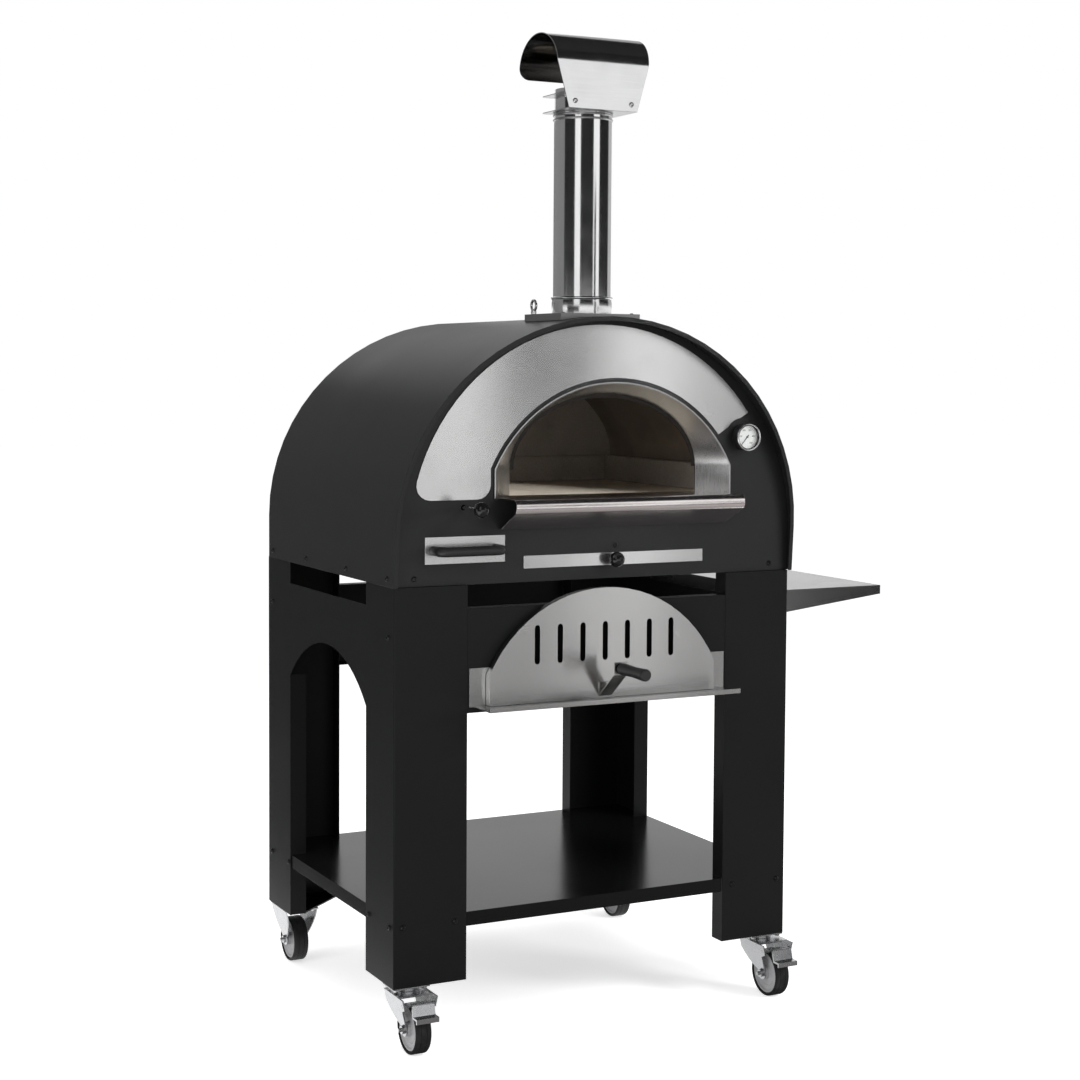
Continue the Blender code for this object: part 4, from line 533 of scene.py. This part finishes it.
# Ledge: the bend at its front stands a little taller than in the solid
NOSE_STRETCH = 1.27
NOSE_DEPTH = 0.016
low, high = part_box("ledge")
ledge_form = merged("ledge")
for vert in ledge_form.verts:
    if vert.co.y < low.y + NOSE_DEPTH:
        vert.co.z = high.z - NOSE_STRETCH * (high.z - vert.co.z)
dressed("ledge", ledge_form, "ledge_steel", 0.0004)

# Hidden sheets keep their solids and take only a finish
HIDDEN = {"base_pan": "screw_black", "hearth_deck": "scorched_steel", "insulation": "wool_blanket"}
for node, finish in HIDDEN.items():
    NODES[node].data.materials.clear()
    NODES[node].data.materials.append(FINISHES[finish][0])

# Low wall across the back of the chamber, level with the low walls at its sides
WALL_DEEP = 0.018
WALL_EDGE = 0.002
low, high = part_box("low_wall_left")
far_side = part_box("low_wall_right")[0].x
back_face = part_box("chamber_back_stone")[0].y
wall_form = bmesh.new()
spot = ((far_side + high.x) / 2, back_face - WALL_DEEP / 2, (high.z + low.z) / 2)
block(wall_form, Matrix.Translation(spot), (far_side - high.x, WALL_DEEP, high.z - low.z))
ease(wall_form, wall_form.edges[:], WALL_EDGE)
set_down("low_wall_back", wall_form, "wall_stone", "stand")

# Wheels: tyre with rounded shoulders and two fine grooves, dished hub with rings
ROUND_STEPS = 72
TYRE_RADIUS = 0.05
TYRE_HALF = 0.017
TYRE_ROUND = 0.0045
GROOVE_AT = 0.006
GROOVE_HALF = 0.0006
GROOVE_DEPTH = 0.0008
TYRE_PROFILE = [(0.0435, 0.0145), (0.0452, TYRE_HALF),
                *arc((TYRE_RADIUS - TYRE_ROUND, TYRE_HALF - TYRE_ROUND), TYRE_ROUND, 90.0, 0.0, 6),
                (TYRE_RADIUS, GROOVE_AT + GROOVE_HALF), (TYRE_RADIUS - GROOVE_DEPTH, GROOVE_AT),
                (TYRE_RADIUS, GROOVE_AT - GROOVE_HALF)]
HUB_PROFILE = [(0.0061, 0.0185), (0.0132, 0.0185), (0.0140, 0.0177), (0.0140, 0.0118), (0.0155, 0.0105),
               (0.0260, 0.0105), (0.0268, 0.0113), (0.0282, 0.0113), (0.0290, 0.0105), (0.0368, 0.0105),
               (0.0382, 0.0118), (0.0388, 0.0134), (0.0396, 0.0140), (0.0424, 0.0140), (0.0432, 0.0132)]
CASTERS = ("front_left", "front_right", "rear_left", "rear_right")
for label in CASTERS:
    wheel = f"caster_{label}"
    centre = middle_of(f"{wheel}_tyre")
    tyre = turned(mirrored_profile(TYRE_PROFILE), centre, SIDEWAYS, ROUND_STEPS, True)
    stands_for(f"{wheel}_tyre", tyre, "tread_rubber")
    hub = turned(mirrored_profile(HUB_PROFILE), centre, SIDEWAYS, ROUND_STEPS, True)
    stands_for(f"{wheel}_hub", hub, "hub_plastic", 25.0)

# Ball knobs on short necks
KNOB_RADIUS = 0.0158
KNOB_NECK = 0.0065
KNOB_STEPS = 48
for node in ("ash_shutter_knob", "crumb_tray_knob"):
    low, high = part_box(node)
    centre = Vector(((low.x + high.x) / 2, low.y + KNOB_RADIUS, (low.z + high.z) / 2))
    neck = -math.degrees(math.acos(KNOB_NECK / KNOB_RADIUS))
    ball = arc((0.0, 0.0), KNOB_RADIUS, 90.0, neck, 28)
    ball[0] = (0.0, KNOB_RADIUS)
    reach = centre.y - high.y
    knob = turned([*ball, (KNOB_NECK, reach), (0.0, reach)], centre, AHEAD, KNOB_STEPS)
    stands_for(node, knob, "knob_plastic")

# Flue: plain pipe in a beaded collar, with two beads under the yoke
PIPE_RADIUS = 0.0600
PIPE_BORE = 0.0585
PIPE_RIM = 0.0596
RIM_DROP = 0.0006
PIPE_STEPS = 96
COLLAR_BORE = 0.0603
COLLAR_RADIUS = 0.0620
COLLAR_SWELL = 0.0626
BEAD_BORE = 0.0598
BEAD_ROUND = 0.0024
BEAD_DROPS = (0.0036, 0.0126)
FLUE = middle_of("flue_pipe")
FLUE_FOOT = (FLUE.x, FLUE.y, 0.0)
low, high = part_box("flue_pipe")
pipe = [(PIPE_BORE, low.z), (PIPE_RADIUS, low.z), (PIPE_RADIUS, high.z - RIM_DROP), (PIPE_RIM, high.z),
        (PIPE_BORE, high.z)]
stands_for("flue_pipe", turned(pipe, FLUE_FOOT, UPWARD, PIPE_STEPS, True), "flue_steel")
low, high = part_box("flue_collar")
collar = [(COLLAR_BORE, low.z), (COLLAR_RADIUS, low.z), (COLLAR_RADIUS, low.z + 0.010),
          (COLLAR_SWELL, low.z + 0.012), (COLLAR_SWELL, low.z + 0.024), (COLLAR_RADIUS, low.z + 0.026),
          (COLLAR_RADIUS, high.z - 0.006), *arc((0.0618, high.z - 0.003), 0.0028, -80.0, 80.0, 6),
          (0.0610, high.z), (COLLAR_BORE, high.z)]
stands_for("flue_collar", turned(collar, FLUE_FOOT, UPWARD, PIPE_STEPS, True), "cowl_steel", 30.0)
yoke_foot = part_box("cowl_yoke")[0].z
beads = []
for drop in BEAD_DROPS:
    level = yoke_foot - drop
    ring = [(BEAD_BORE, level - BEAD_ROUND), *arc((PIPE_RADIUS, level), BEAD_ROUND, -90.0, 90.0, 6),
            (BEAD_BORE, level + BEAD_ROUND)]
    beads.append(turned(ring, FLUE_FOOT, UPWARD, PIPE_STEPS, True))
set_down("flue_beads", joined(beads), "yoke_steel", "stand")

# Cowl: upright flap that widens upwards, a round roll and a rear skirt with rounded corners
COWL_LOW = 1.882
COWL_FLAP = 0.0935
COWL_DEEP = 0.0727
COWL_TALL = 0.0629
COWL_FOOT_HALF = 0.0790
FLAP_SPLAY = 0.282
ROLL_SPLAY = 0.0629
SKIRT_DROP = 0.024
SKIRT_ROUND = 0.022
ROLL_STEPS = 32
SKIRT_STEPS = 8
COWL_SHEET = 0.0015
LINING_SHEET = 0.0002
LINING_GAP = 0.0004
cowl_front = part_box("cowl")[0].y
shoulder = COWL_LOW + COWL_FLAP
shoulder_half = COWL_FOOT_HALF + FLAP_SPLAY * COWL_FLAP
strip = [(cowl_front, COWL_LOW, COWL_FOOT_HALF)]
for step in range(ROLL_STEPS + 1):
    turn = math.pi * step / ROLL_STEPS
    depth = COWL_DEEP * (1.0 - math.cos(turn))
    level = shoulder + COWL_TALL * math.sin(turn)
    strip.append((cowl_front + depth, level, shoulder_half + ROLL_SPLAY * COWL_DEEP * turn))
rear, shoulder_rear, rear_half = strip[-1]
corner = (rear_half - SKIRT_ROUND, shoulder_rear - SKIRT_DROP + SKIRT_ROUND)
for half, level in arc(corner, SKIRT_ROUND, 0.0, -90.0, SKIRT_STEPS):
    strip.append((rear, level, half))
cowl_form = bmesh.new()
last_row = len(strip) - 1
bmesh.ops.create_grid(cowl_form, x_segments=1, y_segments=last_row, size=1.0)
for vert in cowl_form.verts:
    y, z, half = strip[round((vert.co.y + 1.0) / 2.0 * last_row)]
    vert.co = (FLUE.x + half * vert.co.x, y, z)
cowl_form.normal_update()
lining = cowl_form.copy()
bmesh.ops.solidify(cowl_form, geom=cowl_form.faces[:], thickness=COWL_SHEET)
dressed("cowl", cowl_form, "cowl_steel", 0.0003)
for vert in lining.verts:
    vert.co -= vert.normal * (COWL_SHEET + LINING_GAP)
bmesh.ops.solidify(lining, geom=lining.faces[:], thickness=LINING_SHEET)
set_down("cowl_lining", lining, "smoked_steel", "stand")

# Fasteners
HEAD_RADIUS = 0.0054
HEAD_HEIGHT = 0.0030
HEAD_STEPS = 24
SMALL_RADIUS = 0.0040
SMALL_HEIGHT = 0.0022
BOLT_RADIUS = 0.0062
BOLT_HEIGHT = 0.0042
BOLT_EASE = 0.12
SINK = 0.0004
SOCKET_REACH = 0.5


def button_head(radius, height):
    """Domed screw head with a six-sided socket."""
    profile = [(0.0, 0.35 * height), (0.40 * radius, 0.35 * height), (0.44 * radius, 0.96 * height),
               (0.60 * radius, height), (0.82 * radius, 0.78 * height), (0.96 * radius, 0.42 * height),
               (radius, 0.0), (radius, -SINK), (0.0, -SINK)]
    form = turned(profile, (0, 0, 0), UPWARD, HEAD_STEPS)
    for vert in form.verts:
        reach = math.hypot(vert.co.x, vert.co.y)
        if 0.0 < reach < SOCKET_REACH * radius:
            side = math.degrees(math.atan2(vert.co.y, vert.co.x)) % 60.0 - 30.0
            factor = math.cos(math.radians(30.0)) / math.cos(math.radians(side))
            vert.co.x *= factor
            vert.co.y *= factor
    return form


def hex_head(radius, height):
    """Six-sided bolt head with an eased rim."""
    form = bmesh.new()
    bmesh.ops.create_cone(form, cap_ends=True, segments=6, radius1=radius, radius2=radius,
                          depth=height + SINK)
    bmesh.ops.translate(form, vec=(0, 0, (height - SINK) / 2), verts=form.verts)
    rim = [edge for edge in form.edges if all(vert.co.z > 0 for vert in edge.verts)]
    ease(form, rim, BOLT_EASE * radius)
    return form


def put(head, spots):
    """Copies of one head at several places, each looking its own way."""
    copies = []
    for place, way in spots:
        copy = head.copy()
        copy.transform(facing(place, way))
        copies.append(copy)
    head.free()
    return joined(copies)


STAND_HALF = MIDDLE - LEG_LOW.x
STAND_DEPTH = LEG_HIGH.y - FRONT
SHELL_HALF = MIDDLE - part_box("oven_shell")[0].x
PANEL_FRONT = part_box("front_panel")[0].y - FRONT
PANEL_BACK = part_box("back_panel")[1].y - FRONT
CROSSPIECE_SCREWS = ((0.440, 0.250), (0.327, 0.250))
SIDE_SCREWS = ((0.023, 0.247), (0.134, 0.247), (0.030, 0.824))
SHELL_SCREWS = ((0.0265, 0.941), (0.247, 0.941), (0.484, 0.941), (0.700, 0.941))
BACK_SCREWS = ((0.435, 0.945), (0.435, 1.130), (0.310, 1.330), (0.130, 1.428))
PANEL_SCREW_X, PANEL_SCREW_Z = 0.415, 0.940
PLATE_SCREW_X, PLATE_SCREW_Z = 0.036, 0.992
COWL_BOLT_X, COWL_BOLT_Z = 0.065, 1.896
SADDLE_BOLTS = ((-0.080, 0.024), (0.080, 0.024), (0.080, 0.162))
leg_spots = []
shell_spots = []
for side in (-1, 1):
    outward = (side, 0, 0)
    for x, z in CROSSPIECE_SCREWS:
        leg_spots.append((at(side * x, 0.0, z), AHEAD))
        leg_spots.append((at(side * x, STAND_DEPTH, z), BEHIND))
    for y, z in SIDE_SCREWS:
        leg_spots.append((at(side * STAND_HALF, y, z), outward))
        leg_spots.append((at(side * STAND_HALF, STAND_DEPTH - y, z), outward))
    for y, z in SHELL_SCREWS:
        shell_spots.append((at(side * SHELL_HALF, y, z), outward))
    shell_spots.append((at(side * PANEL_SCREW_X, PANEL_FRONT, PANEL_SCREW_Z), AHEAD))
    for x, z in BACK_SCREWS:
        shell_spots.append((at(side * x, PANEL_BACK, z), BEHIND))
shell_spots.append((at(PLATE_SCREW_X, PANEL_FRONT, PLATE_SCREW_Z), AHEAD))
set_down("leg_screws", put(button_head(HEAD_RADIUS, HEAD_HEIGHT), leg_spots), "screw_black", "stand")
set_down("shell_screws", put(button_head(HEAD_RADIUS, HEAD_HEIGHT), shell_spots), "screw_black", "stand")
COWL_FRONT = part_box("cowl")[0].y - FRONT
cowl_spots = [(at(side * COWL_BOLT_X, COWL_FRONT, COWL_BOLT_Z), AHEAD) for side in (-1, 1)]
set_down("cowl_bolts", put(button_head(HEAD_RADIUS, HEAD_HEIGHT), cowl_spots), "bolt_steel", "stand")
SADDLE_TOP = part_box("chimney_saddle")[1].z
saddle_spots = [(at(x, y, SADDLE_TOP), UPWARD) for x, y in SADDLE_BOLTS]
set_down("saddle_bolts", put(button_head(SMALL_RADIUS, SMALL_HEIGHT), saddle_spots), "bolt_steel", "stand")

# Caster bolts under the plates, and ridges on the brake pedals
PLATE_SHEET = 0.003
FRONT_INSET = (0.009, 0.008)
REAR_INSET = (0.014, 0.010)
for label in CASTERS:
    wheel = f"caster_{label}"
    if label.startswith("front"):
        low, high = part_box(f"{wheel}_plate")
        inset_x, inset_y = FRONT_INSET
    else:
        low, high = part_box(f"{wheel}_fork")
        inset_x, inset_y = REAR_INSET
    plate_under = high.z - PLATE_SHEET
    spots = []
    for x in (low.x + inset_x, high.x - inset_x):
        for y in (low.y + inset_y, high.y - inset_y):
            spots.append((Vector((x, y, plate_under)), DOWNWARD))
    set_down(f"{wheel}_bolts", put(hex_head(BOLT_RADIUS, BOLT_HEIGHT), spots), "bolt_steel", "stand")

RIDGES = 4
RIDGE_SIZE = (0.042, 0.0020, 0.0030)
RIDGE_INSET = 0.011
RIDGE_STEP = 0.0042
RIDGE_EDGE = 0.0005
for label in ("front_left", "front_right"):
    node = f"caster_{label}_pedal"
    low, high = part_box(node)
    ridges = bmesh.new()
    for step in range(RIDGES):
        spot = ((low.x + high.x) / 2, high.y - RIDGE_INSET - RIDGE_STEP * step, high.z)
        block(ridges, Matrix.Translation(spot), RIDGE_SIZE)
    ease(ridges, ridges.edges[:], RIDGE_EDGE)
    set_down(f"{node}_ridges", ridges, "zinc_plate", NODES[node]["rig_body"])

# Thermometer: bright bezel, scale marks and plain numbers
DIAL = middle_of("thermometer_dial")
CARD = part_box("thermometer_dial")[0].y
CASE_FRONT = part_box("thermometer_body")[0].y
bezel = [(0.0257, 0.0), (0.0257, 0.0016), (0.0264, 0.0026), *arc((0.0276, 0.0012), 0.0017, 120.0, 0.0, 6),
         (0.0293, 0.0)]
seat = (DIAL.x, CASE_FRONT + SINK, DIAL.z)
set_down("thermometer_bezel", turned(bezel, seat, AHEAD, ROUND_STEPS, True), "cowl_steel", "stand")
SCALE_TURN = 140.0
SCALE_STEPS = 25
SCALE_RADIUS = 0.0228
SHORT_MARK = (0.0004, 0.0020)
LONG_MARK = (0.0007, 0.0034)
NUMBER_RADIUS = 0.0162
NUMBER_SIZE = 0.0056
NUMBER_EVERY = 5
DEGREES_PER_MARK = 20
INK = 0.00012


def mark_turn(step):
    """Angle of a scale mark from straight up."""
    return math.radians(-SCALE_TURN + 2 * SCALE_TURN * step / SCALE_STEPS)


marks = bmesh.new()
for step in range(SCALE_STEPS + 1):
    width, length = SHORT_MARK if step % NUMBER_EVERY else LONG_MARK
    spot = Matrix.Translation((0.0, 0.0, SCALE_RADIUS - length / 2))
    face = Matrix.Translation((DIAL.x, CARD - INK / 2, DIAL.z)) @ Matrix.Rotation(mark_turn(step), 4, "Y")
    block(marks, face @ spot, (width, INK, length))
numbers = [marks]
for step in range(0, SCALE_STEPS + 1, NUMBER_EVERY):
    figure = bpy.data.curves.new("figure", "FONT")
    figure.body = str(step * DEGREES_PER_MARK)
    figure.size = NUMBER_SIZE
    figure.align_x = "CENTER"
    figure.align_y = "CENTER"
    figure.extrude = INK / 2
    figure.resolution_u = 3
    carrier = bpy.data.objects.new("figure", figure)
    outline = bmesh.new()
    outline.from_mesh(carrier.to_mesh())
    carrier.to_mesh_clear()
    across = NUMBER_RADIUS * math.sin(mark_turn(step))
    rise = NUMBER_RADIUS * math.cos(mark_turn(step))
    place = Vector((DIAL.x + across, CARD - INK / 2, DIAL.z + rise))
    outline.transform(Matrix.Translation(place) @ Matrix.Rotation(math.radians(90.0), 4, "X"))
    numbers.append(outline)
    bpy.data.objects.remove(carrier)
set_down("thermometer_scale", joined(numbers), "dial_ink", "stand")

# Studio floor: pale, white where it is looked at, and it keeps the shadow
FLOOR_HALF = 30.0
FLOOR_GLOW = 0.60
AIR_LIGHT = 0.50
floor_form = bmesh.new()
bmesh.ops.create_grid(floor_form, x_segments=1, y_segments=1, size=FLOOR_HALF)
floor_mesh = mesh_of("floor", floor_form)
floor_paint = new_paint("floor_paint")
floor_tone = floor_paint.mix(floor_paint.noise(2.0, 3.0), (0.90, 0.90, 0.90), (0.92, 0.92, 0.92))
floor_glow = floor_paint.mix(floor_paint.looked_at(), (0.0, 0.0, 0.0), (1.0, 1.0, 1.0))
floor_mesh.materials.append(floor_paint.finish(Base_Color=floor_tone, Roughness=0.9, Specular_IOR_Level=0.0,
                                               Emission_Color=floor_glow, Emission_Strength=FLOOR_GLOW))
floor = linked("floor", floor_mesh)
floor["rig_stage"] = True

# White air, brighter where it is looked at than where it lights
studio = bpy.data.worlds.new("studio")
bpy.context.scene.world = studio
air = Paint(studio)
backdrop = air.tree.nodes["Background"]
backdrop.inputs["Color"].default_value = (1.0, 1.0, 1.0, 1.0)
air_level = air.spread(air.looked_at(), 0.0, 1.0, AIR_LIGHT, 1.0)
air.tree.links.new(air_level.socket, backdrop.inputs["Strength"])


def soft_box(name, place, size, power, aim=at(0.0, 0.35, 1.0), fan=180.0):
    """A square studio lamp that looks at the oven and leaves no spot in its gloss."""
    lamp = bpy.data.lights.new(name, "AREA")
    lamp.shape = "SQUARE"
    lamp.size = size
    lamp.energy = power
    lamp.spread = math.radians(fan)
    holder = linked(name, lamp)
    holder.location = place
    holder.rotation_euler = (aim - place).to_track_quat("-Z", "Y").to_euler()
    holder.visible_glossy = False


soft_box("key", at(2.0, -3.0, 3.2), 1.4, 75.0)
soft_box("fill", at(-3.6, -1.2, 2.4), 2.4, 50.0)
soft_box("front", at(2.6, -2.2, 1.45), 0.8, 60.0)
soft_box("mouth", at(0.75, -2.2, 1.75), 0.20, 0.65, at(0.0, 0.25, 1.19), 12.0)
soft_box("top", at(-0.6, 1.0, 4.2), 2.6, 50.0)

# Studio cards, which only show in gloss: dark and grey sheets round the flue, above it and on the floor
CARD_RADIUS = 3.0
CARD_LEVEL = 1.55
CARD_TOP = 4.80
CARD_LIFT = 0.002


def card_cloth(name, colour):
    """Matt cloth with a soft weave."""
    paint = new_paint(name)
    tone = paint.mix(paint.noise(40.0, 2.0), toned(colour, 0.9), toned(colour, 1.1))
    return paint.finish(Base_Color=tone, Roughness=0.95, Specular_IOR_Level=0.0)


DARK_CLOTH = card_cloth("dark_cloth", (0.022, 0.022, 0.022))
MAT_CLOTH = card_cloth("mat_cloth", (0.230, 0.220, 0.218))
GREY_CLOTH = card_cloth("grey_cloth", (0.20, 0.20, 0.20))
PALE_CLOTH = card_cloth("pale_cloth", (0.42, 0.42, 0.42))


def studio_card(name, form, cloth):
    """A sheet beside the oven that shows in reflections alone."""
    form.transform(Matrix.Translation(FLUE_FOOT))
    mesh = mesh_of(name, form)
    mesh.materials.append(cloth)
    card = linked(name, mesh)
    card.visible_camera = False
    card.visible_diffuse = False
    card.visible_transmission = False
    card.visible_shadow = False
    card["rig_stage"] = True


# Each standing card: its first and last bearing from straight ahead, its foot, its top and its cloth
STANDING = ((-172.0, -104.0, 0.0, CARD_TOP, GREY_CLOTH), (-200.0, -172.0, CARD_LEVEL, 2.25, GREY_CLOTH),
            (-104.0, -58.0, CARD_LEVEL, CARD_TOP, DARK_CLOTH),
            (-36.0, 16.0, CARD_LEVEL, CARD_TOP, DARK_CLOTH), (42.0, 96.0, CARD_LEVEL, CARD_TOP, DARK_CLOTH),
            (96.0, 150.0, CARD_LEVEL, CARD_TOP, PALE_CLOTH), (-85.0, -38.0, 0.5, 1.5, DARK_CLOTH),
            (12.0, 24.5, 0.0, 0.65, GREY_CLOTH), (31.5, 36.0, 0.0, 0.65, GREY_CLOTH),
            (38.5, 72.0, 0.0, 1.30, DARK_CLOTH), (16.0, 42.0, 2.65, CARD_TOP, DARK_CLOTH),
            (20.7, 27.9, 1.0, 2.0, DARK_CLOTH), (33.5, 38.5, 0.75, CARD_LEVEL, PALE_CLOTH))
for number, (first, last, low_edge, high_edge, cloth) in enumerate(STANDING):
    form = bmesh.new()
    foot = form.verts.new((0.0, -CARD_RADIUS, low_edge))
    head = form.verts.new((0.0, -CARD_RADIUS, high_edge))
    post = form.edges.new((foot, head))
    form.transform(Matrix.Rotation(math.radians(first), 4, "Z"))
    bmesh.ops.spin(form, geom=[foot, head, post], cent=(0, 0, 0), axis=UPWARD, dvec=(0, 0, 0),
                   angle=math.radians(last - first), steps=10, use_merge=False, use_duplicate=False)
    studio_card(f"card_{number}", form, cloth)
ceiling = bmesh.new()
bmesh.ops.create_circle(ceiling, cap_ends=True, segments=48, radius=CARD_RADIUS)
bmesh.ops.translate(ceiling, vec=(0.0, 0.0, CARD_TOP), verts=ceiling.verts)
studio_card("card_above", ceiling, DARK_CLOTH)

# Each lying card: half its width, its place on the floor and its cloth
LYING = {"card_below": (2.0, (1.0, -2.1, CARD_LIFT), MAT_CLOTH),
         "card_beside": (1.3, (-1.95, 1.3, CARD_LIFT), GREY_CLOTH)}
for name, (half, place, cloth) in LYING.items():
    form = bmesh.new()
    bmesh.ops.create_grid(form, x_segments=1, y_segments=1, size=half)
    bmesh.ops.translate(form, vec=place, verts=form.verts)
    studio_card(name, form, cloth)

# Camera at the photograph's place
EYE_PLACE = at(-1.9412, -3.5512, 1.3488)
YAW = math.radians(27.29)
PITCH = math.radians(3.13)
ROLL = math.radians(0.374)
ahead = Vector((math.sin(YAW) * math.cos(PITCH), math.cos(YAW) * math.cos(PITCH), -math.sin(PITCH)))
level_right = Vector((math.cos(YAW), -math.sin(YAW), 0.0))
level_up = level_right.cross(ahead)
right = level_right * math.cos(ROLL) + level_up * math.sin(ROLL)
up = right.cross(ahead)
eye = bpy.data.cameras.new("eye")
eye.lens = 65.8
eye.sensor_width = 36.0
eye.shift_x = -0.0136
eye.shift_y = -0.0558
camera = linked("camera", eye)
pose = Matrix((right, up, -ahead)).transposed().to_4x4()
camera.matrix_world = Matrix.Translation(EYE_PLACE) @ pose
bpy.context.scene.camera = camera
bpy.context.scene.view_settings.view_transform = "Standard"

low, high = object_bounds()
